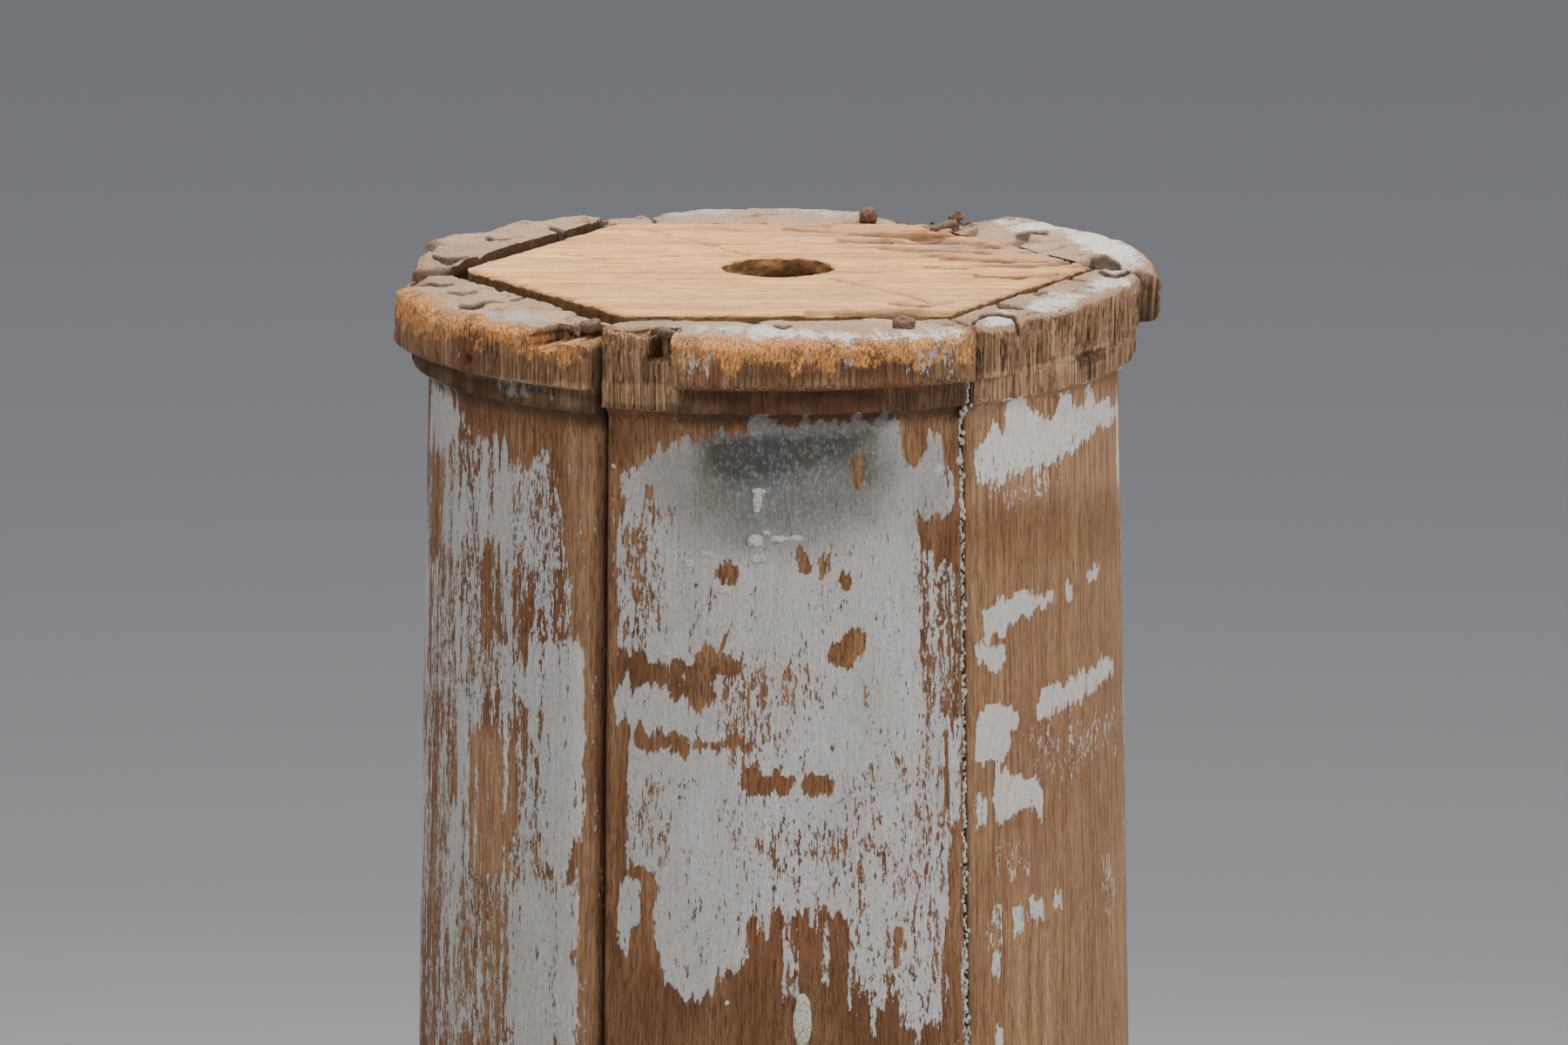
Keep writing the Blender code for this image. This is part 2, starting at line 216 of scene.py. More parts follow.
# Where the photograph shows paint on the staves: how much of it is left, how soft its edge is,
# and its outline in the photograph's pixels. Later ones lie over earlier ones.
paintPatches = (
    ("frontCoat", 0.89, 6, (
        (706, 560), (706, 536), (728, 530), (745, 525), (762, 514), (783, 508), (794, 505), (818, 497),
        (848, 492), (854, 484), (866, 479), (879, 478), (886, 484), (907, 486), (918, 481), (937, 478),
        (950, 481), (967, 484), (989, 481), (1000, 484), (1014, 480), (1036, 480), (1034, 506),
        (1042, 520), (1046, 533), (1054, 522), (1060, 500), (1068, 499), (1082, 506), (1088, 525),
        (1094, 545), (1096, 572), (1092, 586), (1086, 640), (1084, 740), (1085, 772), (1080, 794),
        (1085, 822), (1086, 890), (1083, 945), (1076, 988), (1088, 1005), (1088, 1068), (1085, 1123),
        (1083, 1172), (1060, 1180), (1044, 1184), (1030, 1150), (1028, 1112), (1014, 1162),
        (1000, 1158), (992, 1131), (981, 1098), (975, 1056), (920, 1048), (893, 1050), (866, 1056),
        (845, 1064), (852, 1096), (832, 1118), (821, 1142), (808, 1132), (800, 1144), (786, 1144),
        (762, 1112), (752, 1100), (749, 1010), (742, 1000), (731, 1003), (720, 992), (719, 964),
        (717, 925), (713, 890), (717, 858), (722, 838), (706, 830), (706, 720))),
    ("frontUpper", 0.96, 20, ((760, 530), (1040, 500), (1040, 600), (760, 620))),
    ("frontChipped", 0.68, 30, (
        (840, 900), (1085, 900), (1085, 1180), (1010, 1160), (985, 1060), (850, 1050))),
    ("frontStreaksLeft", 0.55, 14, ((706, 585), (768, 590), (772, 650), (750, 745), (706, 745))),
    ("frontStreaksRight", 0.44, 12, ((1050, 636), (1096, 636), (1094, 830), (1062, 830))),
    ("frontStreaksLow", 0.62, 14, ((706, 920), (760, 900), (758, 985), (712, 985))),
    ("frontStreaksMiddle", 0.56, 16, ((822, 755), (915, 765), (905, 870), (826, 860))),
    ("frontWornRight", 0.72, 18, ((1028, 830), (1094, 830), (1094, 1180), (1036, 1180))),
    ("frontBareBand", 0.02, 4, (
        (700, 742), (739, 752), (747, 757), (761, 760), (783, 759), (794, 766), (799, 752), (813, 744),
        (824, 747), (843, 762), (852, 768), (845, 776), (832, 776), (815, 785), (822, 804), (806, 816),
        (780, 797), (756, 786), (700, 785))),
    ("frontBareLower", 0.05, 5, (
        (735, 836), (765, 842), (800, 850), (830, 853), (850, 846), (857, 856), (820, 863), (780, 862),
        (745, 861), (731, 855))),
    ("frontBareRight", 0.02, 4, (
        (1052, 592), (1077, 594), (1100, 586), (1100, 644), (1079, 639), (1056, 632))),
    ("frontNotchTop", 0.03, 4, (
        (1036, 478), (1062, 478), (1060, 516), (1052, 524), (1044, 536), (1034, 506))),
    ("frontGapLeft", 0.05, 4, ((740, 1002), (749, 1010), (750, 1098), (738, 1086))),
    ("frontFinger", 0.82, 4, (
        (713, 1010), (739, 1008), (737, 1066), (724, 1072), (722, 1100), (716, 1098), (708, 1078),
        (706, 1036))),
    ("frontDrip", 0.52, 6, ((890, 1062), (918, 1062), (916, 1140), (893, 1144))),
    ("frontDripRight", 0.55, 6, ((938, 1058), (962, 1060), (954, 1130), (938, 1146))),
    ("frontRun", 1.0, 3, ((915, 1140), (928, 1140), (930, 1204), (914, 1204))),
    ("frontSlit", 0.0, 2, ((1025, 1068), (1034, 1068), (1034, 1112), (1027, 1112))),
    ("chipUpper", -0.2, 1.5, (
        (820, 660), (828, 648), (836, 644), (846, 648), (847, 664), (842, 668), (824, 665))),
    ("chipMiddle", -0.2, 1.5, (
        (951, 757), (955, 742), (966, 736), (974, 727), (988, 724), (995, 732), (991, 748), (980, 760),
        (970, 770), (962, 766))),
    ("chipLeft", -0.2, 1.5, ((799, 760), (802, 748), (813, 744), (822, 750), (824, 768), (810, 776))),
    ("chipLowLeft", -0.1, 2, (
        (848, 888), (862, 886), (884, 888), (906, 888), (920, 896), (902, 908), (870, 914), (852, 904))),
    ("chipLowRight", -0.2, 1.5, (
        (922, 892), (934, 889), (956, 899), (957, 912), (942, 914), (926, 908), (920, 902))),
    ("chipPair", -0.2, 1.5, ((911, 626), (918, 621), (927, 640), (932, 658), (924, 662), (917, 648))),
    ("chipPairB", -0.2, 1.2, ((940, 641), (945, 636), (947, 656), (941, 661))),
    ("chipPairC", -0.2, 1.2, ((949, 642), (954, 637), (953, 656))),
    ("chipSlant", -0.2, 1.2, ((826, 750), (832, 732), (839, 719), (838, 732), (831, 746))),
    ("chipSpot", -0.1, 1.5, ((740, 560), (746, 556), (748, 566), (742, 570))),
    ("chipSmall", -0.1, 2, ((960, 662), (970, 656), (980, 662), (974, 676), (962, 672))),
    ("chipStain", 0.1, 3, ((975, 530), (992, 526), (990, 546), (996, 552), (984, 558), (978, 545))),
    ("leftCoat", 0.56, 10, (
        (484, 424), (494, 424), (507, 440), (510, 449), (522, 464), (534, 472), (534, 487), (555, 495),
        (568, 502), (584, 502), (588, 528), (604, 532), (614, 514), (624, 512), (633, 517), (641, 560),
        (649, 580), (652, 634), (657, 679), (660, 714), (666, 741), (674, 763), (674, 800), (671, 830),
        (672, 884), (673, 953), (666, 1010), (664, 1096), (664, 1204), (484, 1204))),
    ("leftEdgeStrip", 0.75, 3, ((482, 500), (492, 500), (491, 800), (480, 800))),
    ("leftDense", 0.84, 16, ((508, 560), (548, 555), (560, 620), (540, 640), (510, 640))),
    ("leftDenseUpper", 0.84, 8, ((568, 502), (586, 502), (590, 600), (586, 625), (566, 620))),
    ("leftUpperCoat", 0.92, 6, (
        (488, 424), (507, 440), (522, 464), (534, 472), (533, 490), (520, 510), (492, 512))),
    ("leftBlock", 0.98, 4, (
        (604, 752), (640, 735), (664, 745), (674, 763), (674, 800), (670, 826), (636, 832), (622, 812),
        (600, 806), (592, 790), (596, 764))),
    ("leftBlockLow", 0.98, 4, (
        (628, 826), (671, 826), (672, 884), (674, 920), (671, 953), (660, 975), (655, 1004),
        (640, 1000), (622, 985), (618, 940), (622, 880))),
    ("leftBlockFoot", 0.95, 5, (
        (590, 1014), (640, 1010), (662, 1014), (664, 1090), (640, 1104), (598, 1094), (588, 1070))),
    ("leftBlockLast", 0.93, 5, (
        (590, 1108), (640, 1100), (664, 1108), (664, 1204), (596, 1204), (580, 1170))),
    ("leftSeamStrip", 0.02, 6, (
        (650, 480), (700, 480), (700, 1204), (672, 1204), (673, 1000), (676, 760), (664, 730),
        (657, 640), (650, 570))),
    ("leftBareTop", 0.02, 5, (
        (536, 470), (700, 490), (700, 540), (642, 540), (632, 514), (612, 512), (604, 530), (588, 524),
        (584, 500), (556, 492), (535, 484))),
    ("leftBrown", 0.12, 7, ((493, 520), (505, 530), (506, 570), (503, 640), (492, 640))),
    ("leftBrownMiddle", 0.2, 13, ((543, 640), (562, 628), (575, 650), (572, 734), (550, 738))),
    ("leftFingers", 0.74, 9, ((576, 632), (600, 640), (600, 704), (578, 712))),
    ("leftBrownStrip", 0.12, 7, ((598, 664), (610, 650), (616, 700), (606, 760), (597, 758))),
    ("leftWisps", 0.4, 12, ((484, 800), (510, 800), (508, 1204), (480, 1204))),
    ("leftBareSmooth", 0.02, 12, (
        (538, 838), (580, 830), (592, 850), (590, 880), (585, 1000), (560, 1012), (540, 1000),
        (536, 930))),
    ("leftStreak", 0.97, 2.5, (
        (526, 800), (541, 800), (538, 850), (535, 900), (531, 945), (530, 1000), (526, 1068),
        (524, 1128), (520, 1128), (517, 1068), (516, 1000), (518, 943), (526, 905), (527, 850))),
    ("leftLowWisps", 0.38, 14, ((536, 1004), (586, 1004), (580, 1204), (528, 1204))),
    ("leftTuft", 0.85, 4, ((544, 1116), (557, 1116), (554, 1150), (546, 1157))),
    ("rightCoat", 0.93, 2.5, (
        (1118, 515), (1134, 500), (1140, 487), (1151, 494), (1154, 466), (1153, 461), (1163, 453),
        (1172, 457), (1179, 464), (1186, 474), (1199, 481), (1212, 474), (1215, 453), (1227, 452),
        (1229, 464), (1243, 459), (1243, 443), (1250, 438), (1257, 459), (1265, 464), (1271, 452),
        (1274, 453), (1276, 464), (1283, 466), (1284, 476), (1274, 488), (1266, 497), (1262, 487),
        (1252, 503), (1240, 512), (1226, 523), (1216, 534), (1202, 541), (1187, 546), (1168, 546),
        (1153, 558), (1143, 561), (1131, 562), (1119, 549))),
    ("rightCoatFringe", 0.36, 8, (
        (1122, 555), (1170, 548), (1220, 528), (1226, 545), (1190, 575), (1140, 590))),
    ("rightSliver", 1.0, 1.5, ((1284, 420), (1290, 420), (1290, 472), (1284, 472))),
    ("rightSliverLow", 1.0, 1.5, ((1284, 522), (1290, 520), (1291, 580), (1285, 575))),
    ("rightBlob", 0.97, 3, (
        (1129, 706), (1143, 684), (1158, 687), (1165, 680), (1185, 675), (1192, 682), (1211, 675),
        (1214, 684), (1202, 694), (1192, 699), (1185, 713), (1177, 706), (1168, 713), (1151, 728),
        (1131, 733))),
    ("rightBlobTail", 0.92, 2.5, ((1222, 670), (1232, 662), (1236, 680), (1226, 690))),
    ("rightBlobFar", 0.92, 2.5, ((1243, 656), (1262, 647), (1262, 655), (1252, 669), (1244, 664))),
    ("rightBlobLow", 0.9, 3, (
        (1118, 733), (1133, 731), (1128, 745), (1150, 745), (1155, 760), (1145, 768), (1135, 773),
        (1118, 760))),
    ("rightBar", 0.9, 3, (
        (1191, 833), (1194, 791), (1210, 784), (1231, 776), (1245, 771), (1262, 757), (1274, 754),
        (1276, 774), (1265, 787), (1246, 800), (1238, 808), (1222, 816), (1205, 820))),
    ("rightSquare", 1.0, 2, (
        (1119, 826), (1123, 816), (1143, 810), (1169, 812), (1171, 828), (1160, 843), (1162, 854),
        (1159, 866), (1141, 876), (1120, 879))),
    ("rightLobe", 0.95, 3, (
        (1144, 878), (1157, 884), (1174, 892), (1194, 902), (1197, 922), (1194, 938), (1177, 928),
        (1161, 940), (1146, 943), (1137, 922))),
    ("rightLobeTail", 0.85, 3, ((1119, 917), (1134, 917), (1133, 950), (1120, 953))),
    ("rightWisps", 0.3, 8, ((1170, 840), (1290, 810), (1290, 860), (1220, 896), (1190, 880))),
    ("rightWispsLow", 0.36, 6, ((1134, 966), (1182, 960), (1184, 1010), (1134, 1016))),
    ("rightTuftA", 0.92, 3, ((1160, 1040), (1174, 1034), (1177, 1066), (1164, 1078))),
    ("rightTuftB", 0.88, 3, ((1182, 1034), (1200, 1028), (1200, 1056), (1184, 1058))),
    ("rightTuftC", 0.9, 3, ((1204, 1026), (1219, 1020), (1220, 1048), (1208, 1050))),
    ("rightTuftD", 0.45, 5, ((1130, 1035), (1152, 1035), (1152, 1085), (1126, 1110))),
    ("rightTuftE", 0.92, 3, ((1138, 1096), (1149, 1094), (1148, 1121), (1139, 1122))),
    ("rightTuftF", 0.9, 3, ((1143, 1176), (1156, 1174), (1156, 1204), (1144, 1204))),
    ("rightHair", 0.42, 4, ((1268, 985), (1277, 985), (1276, 1056), (1268, 1056))),
)
# Paint left on the moulding and on the stave ends
tracePatches = (
    ("frontTraceA", 0.42, 7, ((783, 404), (818, 402), (816, 432), (784, 436))),
    ("frontTraceB", 0.34, 6, ((832, 410), (848, 408), (846, 434), (834, 436))),
    ("frontTraceC", 0.42, 5, ((920, 400), (930, 398), (928, 424), (920, 424))),
    ("frontTraceD", 0.36, 6, ((942, 406), (986, 406), (984, 424), (944, 426))),
    ("frontTraceE", 0.36, 9, ((1030, 392), (1100, 392), (1100, 432), (1030, 436))),
    ("leftTraceA", 0.55, 4, ((572, 432), (612, 440), (610, 460), (566, 452))),
    ("leftTraceC", 0.45, 4, ((614, 442), (636, 446), (634, 462), (614, 456))),
    ("leftTraceB", 0.5, 4, ((520, 395), (530, 396), (528, 410), (521, 408))),
    ("leftRimWhite", 0.58, 7, ((545, 366), (560, 352), (600, 352), (630, 358), (628, 368), (590, 369))),
    ("frontRimWhite", 0.72, 6, (
        (800, 372), (880, 370), (980, 380), (1060, 376), (1108, 374), (1104, 384), (1050, 390),
        (960, 388), (880, 386), (800, 378))),
    ("blockTop", 0.82, 4, (
        (1120, 364), (1132, 356), (1150, 354), (1166, 360), (1166, 368), (1140, 370))),
    ("rightTopWhiteA", 0.74, 6, (
        (1176, 346), (1200, 336), (1232, 334), (1250, 340), (1230, 352), (1190, 356))),
    ("rightTopWhiteB", 0.72, 6, ((1240, 330), (1262, 314), (1296, 312), (1300, 324), (1262, 334))),
    ("backTopWhiteA", 0.74, 5, (
        (1140, 250), (1190, 250), (1236, 256), (1232, 266), (1196, 264), (1146, 258))),
    ("backTopWhiteB", 0.8, 6, (
        (1222, 266), (1262, 262), (1296, 276), (1316, 292), (1290, 296), (1262, 290), (1230, 278))),
    ("backTopWhiteC", 0.74, 5, ((1264, 300), (1302, 292), (1308, 304), (1290, 312), (1266, 312))),
    ("farRimWhite", 0.66, 4, ((750, 238), (884, 232), (985, 244), (960, 250), (884, 240), (770, 250))),
    ("farLeftWhite", 0.4, 5, ((480, 278), (530, 274), (520, 286), (482, 288))),
)
# Where the bare wood is paler (to 1) or darker (to -1) than the rest; some of these are painted light and
# painted shade
toneAndLightPatches = (
    # painted shade under the moulding
    ("frontShadeUnderMoulding", -0.4, 9, (
        (698, 470), (868, 474), (848, 492), (806, 500), (760, 508), (702, 532))),
    # painted shade: darker towards the bottom of the front
    ("frontLowShade", -0.45, 30, ((700, 1120), (1100, 1120), (1100, 1230), (700, 1230))),
    ("frontBand", -0.35, 8, ((700, 742), (745, 755), (850, 768), (822, 804), (700, 785))),
    ("frontRightBare", -0.25, 8, ((1050, 590), (1100, 590), (1100, 840), (1060, 840))),
    ("leftSeamStrip", 0.35, 10, ((648, 480), (684, 484), (684, 1230), (660, 1230))),
    ("leftArris", -0.4, 4, ((684, 470), (698, 472), (698, 1230), (684, 1230))),
    ("leftSmooth", 0.55, 12, ((538, 838), (590, 838), (590, 1000), (540, 1004))),
    # painted shade under the moulding
    ("leftShadeUnderMoulding", -0.3, 6, (
        (476, 440), (540, 462), (610, 476), (694, 482), (694, 496), (600, 494), (520, 478))),
    # painted light: the right side, paint and bare wood, made paler
    ("rightBareLit", 0.2, 20, ((1106, 560), (1290, 560), (1290, 1230), (1106, 1230))),
    ("rightPaintLit", 0.75, 20, ((1112, 440), (1300, 440), (1300, 560), (1112, 580))),
    ("rightPaintLowLit", 0.4, 20, ((1112, 640), (1300, 640), (1300, 1230), (1112, 1230))),
    ("tornLeft", 0.45, 8, ((694, 376), (760, 376), (768, 434), (694, 434))),
    ("tornLeftFillet", 0.85, 2.5, (
        (693, 441), (740, 440), (776, 444), (778, 463), (740, 465), (694, 461))),
    ("tornRightFillet", 0.7, 2.5, (
        (1122, 436), (1180, 428), (1236, 412), (1272, 398), (1284, 410), (1240, 426), (1180, 446),
        (1124, 460))),
    ("tornRightLedge", 0.9, 1.6, (
        (1122, 430), (1180, 422), (1236, 406), (1272, 392), (1274, 397), (1236, 411), (1180, 428),
        (1122, 436))),
    ("rightFilletDark", -0.8, 2.5, ((1238, 408), (1270, 398), (1271, 412), (1240, 425))),
    ("leftLedge", 0.9, 1.6, (
        (532, 427), (570, 433), (630, 440), (688, 444), (688, 449), (630, 445), (570, 438), (532, 431))),
    # white paint on the tops, made paler still as a painted highlight
    ("topRightWhitesLit", 0.75, 8, (
        (1140, 246), (1236, 252), (1320, 280), (1330, 330), (1236, 356), (1176, 360), (1166, 372),
        (1112, 370), (1130, 352), (1200, 332), (1250, 312), (1250, 290), (1140, 262))),
    # white paint on the front rim, made paler still as a painted highlight
    ("frontRimWhitesLit", 0.6, 5, ((800, 370), (1108, 370), (1108, 390), (960, 392), (800, 384))),
    ("leftFilletPale", 0.8, 3, ((640, 438), (692, 444), (692, 474), (640, 466))),
    ("torusGreyLeft", -0.3, 5, ((541, 380), (584, 380), (584, 423), (541, 420))),
    ("torusFrontDark", -0.72, 10, ((960, 405), (1080, 400), (1080, 432), (960, 436))),
    ("torusFrontRed", -0.62, 10, ((850, 405), (960, 405), (960, 436), (850, 438))),
)
# Stains in the front stave's paint: grey-blue shadow dirt and an olive bloom
stainPatches = (
    ("stainWide", 0.42, 26, (
        (740, 520), (800, 496), (1030, 492), (1046, 540), (1020, 604), (930, 640), (850, 640),
        (780, 616), (745, 570))),
    ("stainOlive", 0.76, 30, (
        (796, 500), (1000, 492), (1020, 540), (990, 586), (920, 610), (850, 618), (800, 580))),
    ("stainDark", 1.05, 22, ((806, 496), (1010, 490), (980, 524), (900, 546), (840, 556), (812, 540))),
    ("stainRight", 0.28, 14, ((1038, 496), (1092, 510), (1094, 600), (1040, 620))),
    ("stainSmoke", 0.9, 10, ((976, 522), (1000, 520), (1002, 552), (984, 560))),
)


def patchValue(x, y, patches, start, wave=None):
    value = np.full(len(x), float(start))
    for name, amount, soft, outline in patches:
        corners = np.array(outline, float)
        low, high = corners.min(0) - 2 * soft, corners.max(0) + 2 * soft
        near = (x > low[0]) & (x < high[0]) & (y > low[1]) & (y < high[1])
        if near.any():
            reach = insideDistance(x[near], y[near], outline)
            if wave is not None:
                reach = reach + wave[near] * soft
            share = softStep(reach, -soft, soft)
            value[near] = value[near] * (1 - share) + amount * share
    return value


# The CAD model's own sizes, which the staves keep, in metres and degrees
columnShape = {
    "neckRadius": 0.099,
    "footRadius": 0.115,
    "entasis": 0.0019,
    "wall": 0.033,
    "wallTaper": 0.016,  # how much nearer the axis the inner face is at the shaft's top
    "filletStep": 0.0045,
    "filletHeight": 0.0075,
    "astragalStep": 0.0085,
    "astragalHeight": 0.0155,
    "topRound": 0.006,
    "underRound": 0.004,
    "rebateFloor": 0.9727,
    "rebateApothem": 0.08054,
    "seamGap": 0.0009,
    "firstSeam": 2.0,
    "span": 60.0,
    "shaftTop": 0.9725,  # with the head's top at 1 m, as below
    "headTop": 1.0,
}
# How finely a stave's outline is divided, from the foot up and over the top to the inside
rowCounts = {
    "lowShaft": 84,
    "highShaft": 104,
    "cavetto": 9,
    "fillet": 12,
    "underside": 5,
    "underRound": 6,
    "face": 12,
    "topRound": 14,
    "topSheet": 34,
    "rebate": 6,
    "ledge": 3,
    "inside": 12,
    "foot": 5,
}
shaftSplit = 0.785  # the photograph shows the shaft from just above here
sheetStart = 0.007  # the top's flat sheet of points begins this far outside the neck
shaftZone, cavettoZone, filletZone, underZone, faceZone = range(5)
topZone, rebateZone, ledgeZone, insideZone, footZone = range(5, 10)

# Each stave: its place in the ring, its columns of points, its worn outer edge as degrees and
# millimetres from the axis, deeper notches (from, to, radius, depth), low places in its top
# (middle and half width in degrees, from what radius, depth) and how far its two long edges are worn
staveFacts = {
    "stave_right_back": {
        "number": 0, "columns": 170, "arris": (1.0, 1.2), "moulding": -0.5, "fuzz": 0.8,
        "streaks": 0.15, "torn": ((1, 8), (47, 64)), "innerSlope": 2.0,
        "rim": (
            (2, 111.2), (4, 112), (20, 112), (34, 111.4), (46, 112), (50, 110.6), (53, 104),
            (55, 103.2), (62, 102.6)),
        "notches": ((53, 64, 97.5, 12),),
        "dips": ((1, 9, 92, 3.4), (57, 7, 84, 1.6), (36, 5, 100, 0.6), (24, 2.5, 97, 0.8)),
    },
    "stave_back": {
        "number": 1, "columns": 150, "arris": (1.4, 1.4), "moulding": 0.5, "fuzz": 0.5,
        "streaks": 0.15, "torn": ((60, 76),),
        "rim": (
            (62, 102.6), (70, 103), (73, 103.6), (75, 110.4), (80, 112), (100, 111.6), (122, 111.4)),
        "notches": ((60, 73.5, 97.5, 12),),
        "dips": ((64, 6, 90, 1.6), (110, 1.5, 92, 1.2), (118, 6, 96, 1.4)),
    },
    "stave_left_back": {
        "number": 2, "columns": 170, "arris": (1.6, 1.4), "moulding": 0.0, "fuzz": 0.4,
        "streaks": 0.15, "torn": ((156, 184),),
        "rim": (
            (122, 110.8), (128, 112), (150, 111.4), (156, 111), (158, 108), (160, 103.4), (170, 103),
            (182, 103.2)),
        "notches": (),
        "dips": ((152, 7, 92, 0.8), (127, 6, 96, 1.3), (141, 5.5, 94, 1.9), (180.5, 3, 84, 1.0)),
    },
    "stave_left_front": {
        "number": 3, "columns": 226, "arris": (1.6, 2.6), "moulding": -2.2, "fuzz": 1.0,
        "streaks": 0.9, "torn": (),
        "rim": (
            (182, 104.6), (185, 107.4), (188, 108.8), (194, 110.0), (200, 110.7), (214, 111.4),
            (226, 111.2), (236, 110.8), (240, 110.2), (242, 108.6)),
        "notches": ((232.5, 237.2, 98, 5), (237.2, 244, 95.5, 3.0)),
        "dips": ((185, 6, 101, 2.4), (214, 5, 98, 0.5), (238, 9, 84, 0.8)),
    },
    "stave_front": {
        "number": 4, "columns": 226, "arris": (1.0, 0.8), "moulding": 0.0, "fuzz": 1.0,
        "streaks": 0.25, "torn": ((-119, -105.4),),
        "rim": (
            (-118, 102.4), (-117, 103.1), (-112, 103.2), (-107, 103.4), (-105.6, 104.2),
            (-105.2, 110.6), (-103, 111.8), (-90, 112), (-80, 111.6), (-66, 111.8), (-61.6, 111.4),
            (-60.6, 110.0), (-58, 106.8)),
        "notches": ((-109.3, -105.0, 96.8, 8),),
        "dips": ((-114, 3, 98, 0.5), (-70, 4, 104, 0.4)),
    },
    "stave_right_front": {
        "number": 5, "bare": 0.55, "columns": 226, "arris": (0.9, 0.5), "moulding": 0.0,
        "fuzz": 0.5, "streaks": 0.15, "torn": ((-60, 4),),
        "rim": (
            (-58, 104.8), (-56.5, 106.0), (-52, 106.4), (-48.6, 105.6), (-47.8, 103.8), (-44, 102.8),
            (-36, 103.5), (-30, 103.1), (-22, 103.6), (-14, 103.0), (-8, 103.6), (-2, 104.4),
            (2, 105.0)),
        "notches": (),
        "dips": ((-53, 4.6, 100, 0.9), (-6, 7, 96, 0.6)),
    },
}
# Cracks and holes in the tops, and nailShadow, a painted shadow beside the bent nail, dented and darkened
# like them: a line and a half width in the photograph's pixels, depth in mm
topCracks = (
    ("leftEdgeCrack", ((480, 322), (494, 323), (506, 325), (518, 323)), 1.8, 1.6),
    ("leftCrackUpper", ((514, 335), (530, 337), (548, 335)), 1.5, 1.0),
    ("leftSlot", ((530, 349), (541, 350), (554, 348)), 2.0, 2.2),
    ("leftRust", ((556, 347), (566, 345), (577, 346)), 1.6, 0.8),
    ("leftBoardCrack", ((548, 322), (566, 326), (574, 331)), 1.5, 1.2),
    ("leftNearBoard", ((586, 343), (606, 338)), 1.2, 0.6),
    ("leftSplinter", ((636, 374), (650, 372), (668, 366)), 2.6, 2.6),
    ("leftSplinterB", ((645, 384), (655, 378), (664, 370)), 1.6, 2.6),
    ("farLeftShelf", ((498, 294), (512, 297), (524, 296), (536, 294)), 1.6, 1.6),
    ("farLeftStep", ((560, 268), (572, 271), (584, 270)), 1.5, 1.3),
    ("farLeftNotch", ((630, 258), (640, 262), (654, 268)), 2.0, 2.6),
    ("farBreakB", ((690, 252), (696, 248)), 2.2, 2.6),
    ("farBreakA", ((745, 242), (749, 246), (752, 251)), 2.2, 3.0),
    ("farBreakC", ((986, 250), (1006, 256)), 2.4, 2.4),
    ("rightPit", ((1147, 349), (1160, 349), (1173, 352)), 2.2, 2.6),
    ("rightArch", ((1116, 368), (1126, 361), (1146, 359), (1163, 361), (1176, 374)), 1.3, 1.4),
    ("rightShallow", ((1186, 335), (1200, 333)), 1.4, 0.8),
    ("rightGreyCrackA", ((1190, 306), (1215, 309), (1240, 305)), 1.5, 1.2),
    ("rightGreyCrackB", ((1185, 318), (1215, 316), (1245, 320)), 1.5, 1.0),
    ("rightCrackB", ((1254, 291), (1270, 290), (1284, 293)), 2.0, 1.5),
    ("rightCrackC", ((1262, 310), (1280, 313), (1296, 310)), 1.5, 1.6),
    ("rightLongCrack", ((1167, 265), (1184, 264), (1202, 266)), 1.7, 1.2),
    ("rightRustPit", ((1208, 303), (1222, 299), (1238, 294), (1254, 291)), 2.6, 1.8),
    ("rightDeepCrack", ((1143, 283), (1155, 276), (1165, 271), (1180, 268)), 2.4, 2.0),
    ("nailShadow", ((1056, 262), (1076, 258), (1096, 262), (1120, 258)), 3.0, 1.6),
    ("frontHole", ((891, 372), (900, 374), (906, 372)), 2.2, 3.0),
    ("frontNailCrack", ((1000, 362), (1034, 364), (1064, 363)), 1.4, 1.2),
    ("frontNotchCrack", ((774, 366), (780, 356)), 1.6, 1.5),
)
# Holes and dents in the turned faces: middle and half sizes in the photograph's pixels, depth in mm
sidePits = (
    ("leftTorusHole", 536, 412, 3.5, 6, 2.2),
    ("rightSmallHole", 1273.5, 1026, 2, 4, 2.0),
    ("frontScallop", 920, 416, 62, 10, 0.7),
    ("frontScallopB", 1010, 414, 50, 16, 0.6),
    ("leftTorusDent", 660, 378, 14, 7, 1.4),
    ("leftTorusDentB", 600, 388, 22, 7, 0.5),
    ("frontFilletLump", 938, 457, 26, 6, -0.7),
    ("frontFilletGap", 890, 457, 18, 7, 0.5),
    ("filletNotchRight", 1245, 405, 14, 10, 1.2),
)


def shaftRadius(height, top):
    neck = top - columnShape["astragalHeight"] - columnShape["filletHeight"] - columnShape["filletStep"]
    share = height / neck
    straight = columnShape["footRadius"] + (columnShape["neckRadius"] - columnShape["footRadius"]) * share
    return straight + 4 * columnShape["entasis"] * share * (1 - share)


